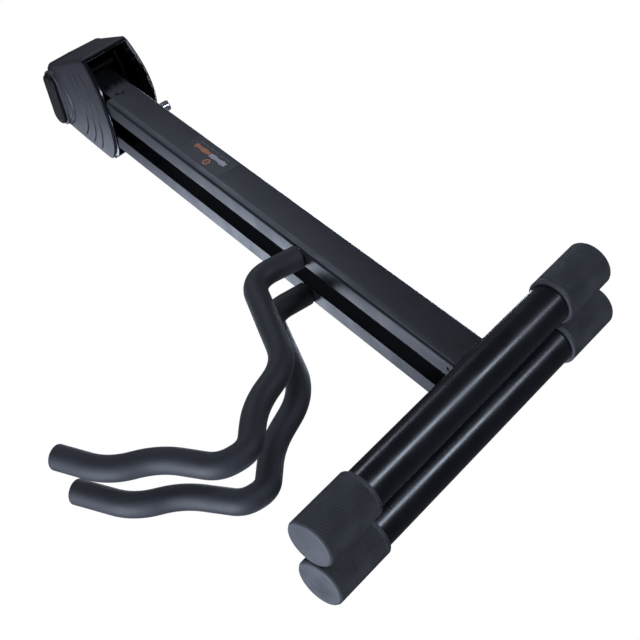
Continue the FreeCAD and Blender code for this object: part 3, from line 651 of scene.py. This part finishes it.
def bored(mesh, cutters, bevel=0.0):
    """The mesh less the cutters' solids, with its sharp edges eased."""
    thing = temporary(mesh)
    holes = []
    for cutter in cutters:
        hole = temporary(cutter)
        hole.hide_render = True
        holes.append(hole)
        bore = thing.modifiers.new("bore", "BOOLEAN")
        bore.operation = "DIFFERENCE"
        bore.solver = "EXACT"
        bore.object = hole
    if bevel:
        ease = thing.modifiers.new("ease", "BEVEL")
        ease.width = bevel
        ease.segments = 2
        ease.limit_method = "ANGLE"
        ease.angle_limit = math.radians(50)
    result = settled(thing)
    for hole in holes:
        bpy.data.objects.remove(hole)
    return result


def rod_cutter(radius, start, finish, matrix):
    """Closed cylinder from start to finish along the matrix's Z."""
    profile = [(0, start), (radius, start), (radius, finish), (0, finish)]
    return lathe(profile, 48, matrix)


ALONG_Y = Matrix.Rotation(math.radians(-90), 4, "X")


class STAND_OT_leg_channels(bpy.types.Operator):
    """Bent steel channels with rounded bends, coped on to the foot tubes"""

    bl_idname = "stand.leg_channels"
    bl_label = "Leg Channels"

    def execute(self, context):
        for side, sign in SIDES:
            vent = LEG_FRAME @ Matrix.Translation((sign * ARM_X, 0, VENT_HEIGHT)) @ ALONG_Y
            cutters = [rod_cutter(VENT_RADIUS, -HALF_WEB - 2, -HALF_WEB + 3, vent)]
            if sign > 0:
                lock = LEG_FRAME @ Matrix.Translation((ARM_X, 0, LOCK_HEIGHT)) @ ALONG_Y
                cutters.append(rod_cutter(LOCK_HOLE_RADIUS, HALF_WEB - 3, HALF_WEB + 2, lock))
            mesh = bored(channel_mesh(sign), cutters, 0.22 * MM)
            piece = piece_from(f"channel_{side}", mesh, material_for("legs"), 30)
            finish_piece(piece, f"leg_{side}", "powder_steel", f"leg_channel_{side}")
        return {"FINISHED"}


# ------------------------------------------------------------------ feet


def foot_axis(side, part):
    """Axis X and Z of a foot and the Y ends of one of its nodes, in metres."""
    low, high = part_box(part)
    return (low[0] + high[0]) / 2, (low[2] + high[2]) / 2, low[1], high[1]


class STAND_OT_foot_tubes(bpy.types.Operator):
    """Round steel foot tubes with a gloss coat"""

    bl_idname = "stand.foot_tubes"
    bl_label = "Foot Tubes"

    def execute(self, context):
        wall = 1.2 * MM
        for side, sign in SIDES:
            x, z, start, finish = foot_axis(side, f"foot_tube_{side}")
            radius = TUBE_RADIUS * MM
            length = finish - start
            profile = [(radius - wall, 0)]
            profile += [(radius, length * k / 24) for k in range(25)]
            profile += [(radius - wall, length), (radius - wall, 0)]
            place = Matrix.Translation((x, start, z)) @ ALONG_Y
            mesh = lathe(profile, 128, place)
            piece = piece_from(f"tube_{side}", mesh, material_for("gloss"))
            finish_piece(piece, f"leg_{side}", "gloss_steel", f"foot_tube_{side}")
        return {"FINISHED"}


def cap_profile(length):
    """Half section of a cap from the middle of its closed end, in metres."""
    base = 14.05
    rim = [(0, 0.35), (0.8, 0.35), (1.1, 0.05), (1.5, 0.0), (6.0, 0.0), (12.0, 0.02),
           (13.0, 0.05)]
    rim += [(r, a) for r, a in arc_points((13.0, 1.75), 1.7, -90, 0, 8)]
    wall = [(base, 2.0 + (length - 5.2) * k / 12) for k in range(13)]
    lip = [(14.95, length - 2.7), (CAP_RADIUS, length - 2.4), (CAP_RADIUS, length - 0.5),
           (14.8, length - 0.15), (14.4, length), (13.1, length), (12.8, length - 0.2),
           (12.73, length - 0.6), (12.73, 2.0), (0, 2.0)]
    return [(r * MM, a * MM) for r, a in rim + wall + lip]


class STAND_OT_foot_caps(bpy.types.Operator):
    """Rubber caps with fine ribs along their sides and a plain lip"""

    bl_idname = "stand.foot_caps"
    bl_label = "Foot Caps"

    def execute(self, context):
        chosen = settings()
        tree = rib_tree()
        for side, sign in SIDES:
            for end in ("front", "rear"):
                node = f"foot_cap_{end}_{side}"
                x, z, start, finish = foot_axis(side, node)
                outward = 1 if end == "rear" else -1
                closed = finish if end == "rear" else start
                turn = Matrix.Rotation(math.radians(90 * outward), 4, "X")
                place = Matrix.Translation((x, closed, z)) @ turn
                body = lathe(cap_profile(CAP_LENGTH), 140, place)
                ribs = grown(tree, bpy.data.meshes.new("seed"), Count=chosen.rib_count,
                             Ring_Radius=CAP_RADIUS * MM - chosen.rib_radius,
                             Rib_Radius=chosen.rib_radius, Length=(CAP_LENGTH - 4.2) * MM,
                             Material=material_for("caps"))
                ribs.transform(place @ Matrix.Translation((0, 0, 1.6 * MM)))
                piece = piece_from(f"cap_{end}_{side}", joined([body, ribs]),
                                   material_for("caps"), 35)
                finish_piece(piece, f"leg_{side}", "cap_rubber", node)
        return {"FINISHED"}


# ------------------------------------------------------------------ arms


def smooth_route(corners, per_bend):
    """Straight runs joined by bends that take up 0.45 of the shorter run beside each corner."""
    points = [corners[0]]
    for before, corner, after in zip(corners, corners[1:], corners[2:]):
        room = 0.45 * min((before - corner).length, (after - corner).length)
        start = corner + (before - corner).normalized() * room
        finish = corner + (after - corner).normalized() * room
        for k in range(per_bend + 1):
            t = k / per_bend
            points.append((1 - t) ** 2 * start + 2 * t * (1 - t) * corner + t * t * finish)
    points.append(corners[-1])
    return points


def sleeve_mesh(route, x, radius, segments=48):
    """Tube round a route in the plane of the leg, closed at both ends with eased edges."""
    lengths = [0.0]
    for a, b in zip(route, route[1:]):
        lengths.append(lengths[-1] + (b - a).length)
    total = lengths[-1]
    ease = 1.3
    stations = []
    for k in range(6):
        angle = math.radians(90 * k / 5)
        stations.append((ease * (1 - math.cos(angle)), radius - ease + ease * math.sin(angle)))
    body = [(ease + (total - 2 * ease) * k / 300, radius) for k in range(1, 300)]
    tip = [(total - s, r) for s, r in reversed(stations)]
    verts = []
    rings = []
    for s, r in stations + body + tip:
        i = max(j for j in range(len(lengths) - 1) if lengths[j] <= s + 1e-9)
        t = (s - lengths[i]) / (lengths[i + 1] - lengths[i])
        point = route[i].lerp(route[i + 1], min(1.0, t))
        before = route[max(0, i - 1)]
        after = route[min(len(route) - 1, i + 2)]
        along = (after - before).normalized()
        side_way = Vector((0.0, -along.z, along.y))
        ring = []
        for k in range(segments):
            angle = 2 * math.pi * k / segments
            way = Vector((math.cos(angle), 0, 0)) + side_way * math.sin(angle)
            swell = 0.12 * noise.noise(Vector((s * 0.03, math.cos(angle), math.sin(angle) + x)))
            ring.append(len(verts))
            verts.append(Vector((x, point.y, point.z)) + way * (r + swell))
        rings.append(ring)
    faces = bands(rings)
    for ring in (rings[0], rings[-1]):
        middle = sum((verts[k] for k in ring), Vector()) / segments
        inner = []
        for k in ring:
            inner.append(len(verts))
            verts.append(verts[k].lerp(middle, 0.5))
        faces += bands([ring, inner])
        hub = len(verts)
        verts.append(middle)
        faces += [[inner[k], inner[(k + 1) % segments], hub] for k in range(segments)]
    return mesh_from(verts, faces, LEG_FRAME)


class STAND_OT_arm_sleeves(bpy.types.Operator):
    """Foam sleeves over the bent cradle arms"""

    bl_idname = "stand.arm_sleeves"
    bl_label = "Arm Sleeves"

    def execute(self, context):
        radius = settings().foam_radius / MM
        for side, sign in SIDES:
            corners = [Vector((0, -HALF_WEB - 0.6, ARM_START))]
            corners += [Vector((0, -ahead, height)) for ahead, height in ARM_CORNERS[side]]
            mesh = sleeve_mesh(smooth_route(corners, 16), sign * ARM_X, radius)
            piece = piece_from(f"foam_{side}", mesh, material_for("foam"))
            finish_piece(piece, f"leg_{side}", "foam", f"arm_foam_{side}")
        return {"FINISHED"}


def path_mesh(points, matrix, closed=False):
    """Edges through points, as input for the weld tree."""
    edges = [(k, k + 1) for k in range(len(points) - 1)]
    if closed:
        edges.append((len(points) - 1, 0))
    mesh = bpy.data.meshes.new("path")
    mesh.from_pydata([tuple(p) for p in points], edges, [])
    mesh.transform(matrix)
    return mesh


class STAND_OT_weld_beads(bpy.types.Operator):
    """Rippled welds where arm rods and foot tubes meet the channels"""

    bl_idname = "stand.weld_beads"
    bl_label = "Weld Beads"

    def execute(self, context):
        chosen = settings()
        tree = bead_tree()
        for side, sign in SIDES:
            ring = []
            for k in range(40):
                angle = 2 * math.pi * k / 40
                ring.append((sign * ARM_X + 5.2 * math.cos(angle), -HALF_WEB - 0.1,
                             ARM_START + 5.2 * math.sin(angle)))
            outer, inner = channel_outline(sign)
            seam = [(x, y, tube_top(x, y)) for x, y in outer if abs(x) > FLANGE_EDGE]
            paths = [path_mesh(ring, LEG_FRAME, True), path_mesh(seam, LEG_FRAME)]
            beads = [grown(tree, path, Radius=chosen.weld_radius * size,
                           Spacing=chosen.weld_radius * 0.6, Seed=5,
                           Material=material_for("weld"))
                     for path, size in zip(paths, (1.35, 0.7))]
            piece = piece_from(f"welds_{side}", joined(beads), material_for("weld"), 80)
            finish_piece(piece, f"leg_{side}", "powder_steel")
        return {"FINISHED"}


# ------------------------------------------------------------------ head


def front_face(x):
    return COVER_FRONT + FRONT_BOW * (x / COVER_HALF) ** 2


def rear_face(x):
    return COVER_REAR - REAR_BOW * (x / COVER_HALF) ** 2


def half_width(height):
    """Half width of the head at a height above the hinges."""
    if height <= COVER_FOOT:
        return COVER_HALF
    slope = (COVER_HALF - SHOULDER[0]) / (SHOULDER[1] - COVER_FOOT)
    return COVER_HALF - slope * (height - COVER_FOOT)


def arc_groove(x, z, middle, end, reach):
    """Depth, 0 to 1, of a groove whose height is middle at X = 0 and end at X = reach."""
    line = middle + (end - middle) * (x / reach) ** 2
    fade = 1 - smoothstep(reach - 3, reach + 1, abs(x))
    return fade * math.exp(-((z - line) / 0.55) ** 2)


GROOVES = [(-12.0, 5.0, 27.0), (-21.5, -3.5, 31.0), (-30.0, -11.0, 35.0)]
RIM_LINE = (6.0, 27.5, 25.5)


def front_relief(x, z, groove_depth):
    """How far the front face stands out at a place, in millimetres."""
    relief = 0.0
    for middle, end, reach in GROOVES:
        relief -= groove_depth * arc_groove(x, z, middle, end, reach)
    middle, end, reach = RIM_LINE
    line = middle + (end - middle) * (x / reach) ** 2
    relief += 0.9 * smoothstep(line - 0.7, line + 0.7, z)
    relief -= 0.5 * math.exp(-((z - line + 1.5) / 0.5) ** 2)
    relief -= 0.45 * math.exp(-((z - line - 2.2) / 0.5) ** 2)
    return relief


def groove_shade_amount(x, z):
    """How much painted shade darkens the face at a place: 1 in the middle of a groove, a little
    less on the rim step's two lines.
    """
    lines = [arc_groove(x, z, *groove) for groove in GROOVES]
    middle, end, reach = RIM_LINE
    line = middle + (end - middle) * (x / reach) ** 2
    lines += [0.9 * math.exp(-((z - line + 1.5) / 0.5) ** 2),
              0.8 * math.exp(-((z - line - 2.2) / 0.5) ** 2)]
    return min(1.0, sum(lines))


def cover_points(height, columns, inset):
    """The head's outline at a height, for columns given as (face, share)."""
    wide = half_width(min(height, SHOULDER[1])) - inset[0]
    points = []
    ease = CORNER_EASE
    for face, share in columns:
        if face == "front":
            x = share * (wide - ease)
            points.append((x, front_face(x) + inset[1]))
        elif face == "rear":
            x = share * (wide - ease)
            points.append((x, rear_face(x) - inset[1]))
        elif face in ("front_corner", "rear_corner"):
            sign = 1 if share > 0 else -1
            t = abs(share) - 1
            if face == "front_corner":
                start = Vector((wide - ease, front_face(wide - ease) + inset[1]))
                bend = Vector((wide, front_face(wide) + inset[1]))
                finish = Vector((wide, front_face(wide) + inset[1] + ease))
            else:
                start = Vector((wide - ease, rear_face(wide - ease) - inset[1]))
                bend = Vector((wide, rear_face(wide) - inset[1]))
                finish = Vector((wide, rear_face(wide) - inset[1] - ease))
            p = (1 - t) ** 2 * start + 2 * t * (1 - t) * bend + t * t * finish
            points.append((sign * p.x, p.y))
        else:
            sign = 1 if share > 0 else -1
            t = abs(share) - 1
            corner = (front_face(wide) + inset[1] + ease if face == "front_side"
                      else rear_face(wide) - inset[1] - ease)
            seam = SEAM - 0.05 if face == "front_side" else SEAM + 0.05
            points.append((sign * wide, corner + (seam - corner) * t))
    return points


def cover_columns(face, across):
    """Columns from the left seam round the face to the right seam."""
    sides = [(f"{face}_side", -(1 + k / 8)) for k in range(8, 0, -1)]
    corners = [(f"{face}_corner", -(1 + k / 6)) for k in range(6, 0, -1)]
    middle = [(face, -1 + 2 * k / across) for k in range(across + 1)]
    right = [(f"{face}_corner", 1 + k / 6) for k in range(1, 7)]
    right += [(f"{face}_side", 1 + k / 8) for k in range(1, 9)]
    return sides + corners + middle + right


def cover_mesh(face, across, rows, groove_depth):
    """Outer skin of one cover: wall, turned-in shoulders and flat top, given its thickness."""
    columns = cover_columns(face, across)
    sag = FRONT_SAG if face == "front" else REAR_SAG
    levels = []
    verts = []
    for row in range(rows + 1):
        share = row / rows
        level = []
        for column in columns:
            kind, place = column
            spread = place if kind == face else 1.0
            spread *= (COVER_HALF - CORNER_EASE) / COVER_HALF if kind == face else 1.0
            low = COVER_FOOT - sag * (1 - min(1.0, abs(spread)) ** 2)
            height = low + (SHOULDER[1] - low) * share
            x, y = cover_points(height, [column], (0, 0))[0]
            if kind == "front":
                y -= front_relief(x, height, groove_depth)
            level.append(len(verts))
            verts.append((x, y, height))
        levels.append(level)
    turn_in = SHOULDER[0] - CROWN[0]
    rise = CROWN[1] - SHOULDER[1]
    for k in range(1, 13):
        angle = math.radians(90 * k / 12)
        inset = (turn_in * (1 - math.cos(angle)), 5.0 * (1 - math.cos(angle)))
        height = SHOULDER[1] + rise * math.sin(angle)
        level = []
        for column, (x, y) in zip(columns, cover_points(SHOULDER[1], columns, inset)):
            if column[0] == "front":
                y -= front_relief(x, height, groove_depth) * math.cos(angle)
            fall = REAR_FALL * max(0.0, y - SEAM) / (COVER_REAR - SEAM) * math.sin(angle)
            level.append(len(verts))
            verts.append((x, y, height - fall))
        levels.append(level)
    faces = []
    for low, high in zip(levels, levels[1:]):
        for k in range(len(low) - 1):
            faces.append([low[k], low[k + 1], high[k + 1], high[k]])
    top = levels[-1]
    seam_y = verts[top[0]][1]
    inner = []
    for k in top:
        inner.append(len(verts))
        verts.append((verts[k][0], seam_y, CROWN[1]))
    for k in range(len(top) - 1):
        faces.append([top[k], top[k + 1], inner[k + 1], inner[k]])
    faces = [f for f in faces if len({verts[k] for k in f}) > 2]
    mesh = mesh_from(verts, faces, HEAD_FRAME, False)
    shape = bmesh.new()
    shape.from_mesh(mesh)
    bmesh.ops.recalc_face_normals(shape, faces=shape.faces)
    test = max(shape.faces, key=lambda f: f.calc_center_median().z)
    if test.normal.z < 0:
        bmesh.ops.reverse_faces(shape, faces=shape.faces)
    shape.to_mesh(mesh)
    shape.free()
    thing = temporary(mesh)
    wall = thing.modifiers.new("wall", "SOLIDIFY")
    wall.thickness = COVER_WALL * MM
    wall.offset = -1
    result = settled(thing)
    # Painted shade: each front vertex stores how dark its grooves and rim step lines are painted.
    if face == "front":
        back = HEAD_FRAME.inverted()
        painted_groove_shade = result.attributes.new("groove", "FLOAT", "POINT")
        for vertex, value in zip(result.vertices, painted_groove_shade.data):
            place = back @ vertex.co
            value.value = groove_shade_amount(place.x, place.z)
    return result


def screw_pockets():
    """Cutters for the counterbores in the rear cover."""
    cutters = []
    for x, z in SCREW_PLACES:
        seat = rear_face(x) - 1.2
        cutters.append(rod_cutter(2.9, seat, seat + 6,
                                  HEAD_FRAME @ Matrix.Translation((x, 0, z)) @ ALONG_Y))
    return cutters


class STAND_OT_head_covers(bpy.types.Operator):
    """Moulded head covers with arc grooves, a stepped brow and rounded shoulders"""

    bl_idname = "stand.head_covers"
    bl_label = "Head Covers"

    def execute(self, context):
        depth = settings().groove_depth / MM
        front = piece_from("cover_front", cover_mesh("front", 170, 200, depth),
                           material_for("shell"), 50)
        finish_piece(front, "head", "shell_plastic", "head_cover_front")
        rear_mesh = bored(cover_mesh("rear", 40, 30, depth), screw_pockets())
        rear = piece_from("cover_rear", rear_mesh, material_for("shell"), 50)
        finish_piece(rear, "head", "shell_plastic", "head_cover_rear")
        return {"FINISHED"}


def stadium_ring(half, radius, steps=24):
    """Points (x, z) round a stadium that lies along X."""
    ring = []
    for centre, start in ((half, -90), (-half, 90)):
        for k in range(steps + 1):
            angle = math.radians(start + 180 * k / steps)
            ring.append((centre + radius * math.cos(angle), radius * math.sin(angle)))
    return ring


class STAND_OT_bumper_pad(bpy.types.Operator):
    """Soft rubber pad with a crowned face on a stepped seat"""

    bl_idname = "stand.bumper_pad"
    bl_label = "Bumper Pad"

    def execute(self, context):
        face = COVER_FRONT
        for name, body_slot, levels, kind, nodes in (
                ("pad_seat", "shell_plastic",
                 [(9.4, 2.0), (9.4, -0.7), (9.2, -1.05), (8.8, -1.2), (0.4, -1.2)], "shell", ()),
                ("pad", "pad_rubber",
                 [(7.4, -0.9), (7.4, -2.9), (7.25, -3.5), (6.8, -3.95), (6.1, -4.2), (4.5, -4.35),
                  (2.5, -4.4), (0.4, -4.4)], "pad", ("bumper_pad",))):
            verts = []
            rings = []
            for radius, out in levels:
                ring = []
                for x, z in stadium_ring(PAD_HALF, radius):
                    ring.append(len(verts))
                    verts.append((x, face + out, PAD_HEIGHT + z))
                rings.append(ring)
            faces = bands(rings) + [rings[0], rings[-1]]
            piece = piece_from(name, mesh_from(verts, faces, HEAD_FRAME), material_for(kind), 50)
            finish_piece(piece, "head", body_slot, *nodes)
        return {"FINISHED"}


class STAND_OT_head_liner(bpy.types.Operator):
    """Polished lip along the liner's lower edge and three small bosses on its rear wall"""

    bl_idname = "stand.head_liner"
    bl_label = "Head Liner"

    def execute(self, context):
        shift = COVER_WALL + 0.6
        wide = COVER_HALF - 2.5
        foot = COVER_FOOT - 1.5
        loop = []
        for way, face, inward, sag in ((1, front_face, shift, FRONT_SAG),
                                       (-1, rear_face, -shift, REAR_SAG)):
            for k in range(81):
                x = way * wide * (2 * k / 80 - 1)
                loop.append((x, face(x) + inward, foot - sag * (1 - (x / COVER_HALF) ** 2)))
        curve = bpy.data.curves.new("lip", "CURVE")
        curve.dimensions = "3D"
        curve.bevel_depth = 0.6 * MM
        curve.bevel_resolution = 4
        spline = curve.splines.new("POLY")
        spline.points.add(len(loop) - 1)
        for point, place in zip(spline.points, loop):
            point.co = (*(HEAD_FRAME @ Vector(place)), 1.0)
        spline.use_cyclic_u = True
        lip_thing = bpy.data.objects.new("lip", curve)
        bpy.context.scene.collection.objects.link(lip_thing)
        meshes = [settled(lip_thing)]
        for x, z in ((34.0, -16.5), (26.0, -18.5), (17.5, -20.0)):
            y = rear_face(x) - COVER_WALL - 1.1
            turn = HEAD_FRAME @ Matrix.Translation((x, y, z)) @ ALONG_Y.inverted()
            profile = [(0, -0.3), (2.1, -0.3), (2.1, 0.5), (1.9, 0.8), (1.5, 0.8), (1.3, 0.5),
                       (1.2, 0.1), (0, 0.1)]
            meshes.append(lathe(profile, 32, turn))
        piece = piece_from("liner_lip", joined(meshes), material_for("liner"), 50)
        finish_piece(piece, "head", "gloss_plastic")
        return {"FINISHED"}


# ------------------------------------------------------------------ small parts


class STAND_OT_lock_pin(bpy.types.Operator):
    """Chrome pull pin with bevelled ends and a grip groove"""

    bl_idname = "stand.lock_pin"
    bl_label = "Lock Pin"

    def execute(self, context):
        place = LEG_FRAME @ Matrix.Translation((ARM_X, HALF_WEB, LOCK_HEIGHT)) @ ALONG_Y
        profile = [(0, -17), (1.7, -17), (2.0, -16.7), (2.0, -5.5), (3.9, -5.5), (3.9, 1.2),
                   (3.65, 1.45), (3.65, 2.3), (3.9, 2.55), (3.9, 6.2), (3.8, 6.8), (3.5, 7.4),
                   (3.1, 7.85), (2.6, 8.0), (0, 8.05)]
        mesh = lathe(profile, 64, place)
        piece = piece_from("pull_pin", mesh, material_for("chrome"), 35)
        finish_piece(piece, "lock", "chrome", "lock_pin")
        return {"FINISHED"}


def flat_block(low, high, x, thick):
    """Thin block on the web: low and high are (y, z) corners."""
    corners = [(low[0], low[1]), (high[0], low[1]), (high[0], high[1]), (low[0], high[1])]
    return flat_prism(corners, x, thick)


def flat_prism(outline, x, thick):
    count = len(outline)
    verts = [(x, y, z) for y, z in outline] + [(x + thick, y, z) for y, z in outline]
    faces = [list(range(count)), list(range(count, 2 * count))]
    faces += [[k, (k + 1) % count, count + (k + 1) % count, count + k] for k in range(count)]
    return mesh_from(verts, faces, LEG_FRAME)


def rounded_corners(low, high, radius):
    points = []
    near, far = (low[0] + radius, low[1] + radius), (high[0] - radius, high[1] - radius)
    for cy, cz, start in ((far[0], far[1], 0), (near[0], far[1], 90), (near[0], near[1], 180),
                          (far[0], near[1], 270)):
        points += arc_points((cy, cz), radius, start, start + 90, 6)
    return points


class STAND_OT_label(bpy.types.Operator):
    """Dark foil label with a plain ring and a row of level bars, no lettering"""

    bl_idname = "stand.label"
    bl_label = "Label"

    def execute(self, context):
        film = flat_prism(rounded_corners((-7.4, 266.5), (11.0, 318.5), 1.2), WEB_FACE, 0.12)
        piece = piece_from("label_film", film, material_for("label"))
        finish_piece(piece, "leg_right", "label", "label_plate")
        top = WEB_FACE + 0.12
        thick = 0.05
        orange = []
        white = []
        faint = []
        for k in range(24):
            z = 311.0 - 1.6 * k
            tall = 1.1 + 0.9 * abs(math.sin(1.7 * k)) + 0.4 * math.cos(0.9 * k)
            bar = flat_block((3.4 - tall, z), (3.4 + tall, z + 0.85), top, thick)
            (orange if k < 12 else white).append(bar)
            if k % 4 != 3:
                faint.append(flat_block((7.6, z), (8.3, z + 1.2), top, thick))
        ring = []
        for k in range(36):
            a, b = (2 * math.pi * j / 36 for j in (k, k + 1))
            quad = [(-3.2 + r * math.cos(t), 288.0 + r * math.sin(t))
                    for r, t in ((2.1, a), (2.9, a), (2.9, b), (2.1, b))]
            ring.append(flat_prism(quad, top, thick))
        orange += ring
        orange.append(flat_block((-3.7, 287.5), (-2.7, 288.5), top, thick))
        for name, meshes, kind in (("label_accent", orange, "mark"),
                                   ("label_white", white, "ink"),
                                   ("label_grey", faint, "faint")):
            piece = piece_from(name, joined(meshes), material_for(kind))
            finish_piece(piece, "leg_right", "label")
        return {"FINISHED"}


# The hinge block, pin, yoke, spread stops, nuts and washers take the painted-shade black, which
# stands in for the shadow inside the head.
NODE_FINISHES = {
    "arm_rod": "legs", "hinge_block": "shade_painted", "hinge_bush": "bronze", "block_rivets": "legs",
    "hinge_pin": "shade_painted", "head_yoke": "shade_painted", "spread_stops": "shade_painted", "head_liner": "liner",
    "hinge_nuts": "shade_painted", "hinge_washers": "shade_painted", "cover_screws": "zinc",
    "lock_barrel": "zinc", "lock_clip": "zinc", "lock_spring": "zinc",
}


class STAND_OT_hardware(bpy.types.Operator):
    """Finishes for the frame's own nodes that stay in view"""

    bl_idname = "stand.hardware"
    bl_label = "Hardware Finishes"

    def execute(self, context):
        for name, node in frame["nodes"].items():
            for start, kind in NODE_FINISHES.items():
                if name.startswith(start):
                    node.data.materials.clear()
                    node.data.materials.append(material_for(kind))
        return {"FINISHED"}


# ------------------------------------------------------------------ stage


CAMERA_PLACE = Vector((0.59085, -0.45598 + LEG_ORIGIN.y, -0.38885))
CAMERA_RIGHT = Vector((-0.16774, 0.64695, -0.74385))
CAMERA_DOWN = Vector((-0.74290, -0.57896, -0.33601))
CAMERA_FORWARD = Vector((-0.64804, 0.49625, 0.57774))
LENS_MM = 84.2
FLOOR_HALF = 3.0
FLOOR_LEVEL = -0.0005


def one_sided_floor():
    """Pale floor that shows only from above."""
    material = new_material("pale_floor", (0.82, 0.82, 0.82), 0.75)
    nodes = material.node_tree.nodes
    links = material.node_tree.links
    facing = nodes.new("ShaderNodeNewGeometry")
    clear = nodes.new("ShaderNodeBsdfTransparent")
    mix = nodes.new("ShaderNodeMixShader")
    links.new(facing.outputs["Backfacing"], mix.inputs["Fac"])
    links.new(nodes["Principled BSDF"].outputs["BSDF"], mix.inputs[1])
    links.new(clear.outputs["BSDF"], mix.inputs[2])
    links.new(mix.outputs["Shader"], nodes["Material Output"].inputs["Surface"])
    return material


def area_light(name, place, target, size, power):
    data = bpy.data.lights.new(name, "AREA")
    data.shape = "RECTANGLE"
    data.size, data.size_y = size
    data.energy = power
    data.color = (0.74, 0.82, 1.0)
    lamp = bpy.data.objects.new(name, data)
    lamp.location = place
    lamp.rotation_euler = (target - place).to_track_quat("-Z", "Y").to_euler()
    bpy.context.scene.collection.objects.link(lamp)


class STAND_OT_stage(bpy.types.Operator):
    """Camera, pale floor, white surroundings and soft studio lights"""

    bl_idname = "stand.stage"
    bl_label = "Stage"

    def execute(self, context):
        scene = context.scene
        data = bpy.data.cameras.new("camera")
        data.lens = LENS_MM
        data.sensor_width = 36.0
        camera = bpy.data.objects.new("camera", data)
        turn = Matrix((CAMERA_RIGHT, -CAMERA_DOWN, -CAMERA_FORWARD)).transposed()
        camera.matrix_world = Matrix.Translation(CAMERA_PLACE) @ turn.to_4x4()
        scene.collection.objects.link(camera)
        scene.camera = camera
        corners = [(x * FLOOR_HALF, y * FLOOR_HALF, FLOOR_LEVEL)
                   for x, y in ((-1, -1), (1, -1), (1, 1), (-1, 1))]
        floor_mesh = bpy.data.meshes.new("floor")
        floor_mesh.from_pydata(corners, [], [(0, 1, 2, 3)])
        floor_mesh.materials.append(one_sided_floor())
        floor = bpy.data.objects.new("floor", floor_mesh)
        scene.collection.objects.link(floor)
        floor.visible_shadow = False
        floor.visible_diffuse = False
        floor.visible_glossy = False
        scene.view_settings.view_transform = "Standard"
        world = scene.world or bpy.data.worlds.new("surroundings")
        scene.world = world
        world.use_nodes = True
        nodes = world.node_tree.nodes
        links = world.node_tree.links
        nodes.clear()
        ray = nodes.new("ShaderNodeLightPath")
        seen = nodes.new("ShaderNodeBackground")
        seen.inputs["Color"].default_value = (1, 1, 1, 1)
        seen.inputs["Strength"].default_value = 1.0
        fill = nodes.new("ShaderNodeBackground")
        fill.inputs["Color"].default_value = (0.86, 0.91, 1.0, 1)
        fill.inputs["Strength"].default_value = 0.10
        mix = nodes.new("ShaderNodeMixShader")
        out = nodes.new("ShaderNodeOutputWorld")
        links.new(ray.outputs["Is Camera Ray"], mix.inputs["Fac"])
        links.new(fill.outputs["Background"], mix.inputs[1])
        links.new(seen.outputs["Background"], mix.inputs[2])
        links.new(mix.outputs["Shader"], out.inputs["Surface"])
        middle = Vector((0, 0, 0.22))
        foot = Vector((0, 0, 0.02))
        for name, offset, target, size, power in (
                ("low_front_softbox", (-0.2, -1.4, -0.25), middle, (1.1, 0.6), 48),
                ("far_high_softbox", (-0.85, -0.28, 1.05), middle, (0.9, 0.4), 4.2),
                ("side_strip", (0.9, 0.25, 0.5), Vector((0, 0.1, 0.45)), (0.5, 0.2), 3.6),
                ("rear_softbox", (-0.5, 1.5, 0.8), middle, (1.0, 0.7), 26),
                ("foot_strip", (0.84, 0.42, -0.78), foot, (0.7, 0.16), 9)):
            area_light(name, target + Vector(offset), target, size, power)
        return {"FINISHED"}


STEPS = (STAND_OT_stage, STAND_OT_leg_channels, STAND_OT_foot_tubes, STAND_OT_foot_caps,
         STAND_OT_arm_sleeves, STAND_OT_weld_beads, STAND_OT_head_covers, STAND_OT_bumper_pad,
         STAND_OT_head_liner, STAND_OT_lock_pin, STAND_OT_label, STAND_OT_hardware)


class STAND_PT_panel(bpy.types.Panel):
    """Lists the stand's settings and pieces"""

    bl_label = "Guitar Stand"
    bl_idname = "STAND_PT_panel"
    bl_space_type = "VIEW_3D"
    bl_region_type = "UI"
    bl_category = "Guitar Stand"

    def draw(self, context):
        chosen = context.scene.guitar_stand
        for name in StandSettings.__annotations__:
            self.layout.prop(chosen, name)
        for step in STEPS:
            self.layout.operator(step.bl_idname)


CLASSES = (StandSettings, *STEPS, STAND_PT_panel)


def register():
    for cls in CLASSES:
        bpy.utils.register_class(cls)
    bpy.types.Scene.guitar_stand = PointerProperty(type=StandSettings)


def unregister():
    del bpy.types.Scene.guitar_stand
    for cls in reversed(CLASSES):
        bpy.utils.unregister_class(cls)


def main():
    register()
    for step in STEPS:
        group, action = step.bl_idname.split(".")
        getattr(getattr(bpy.ops, group), action)()


if __name__ == "__main__":
    main()
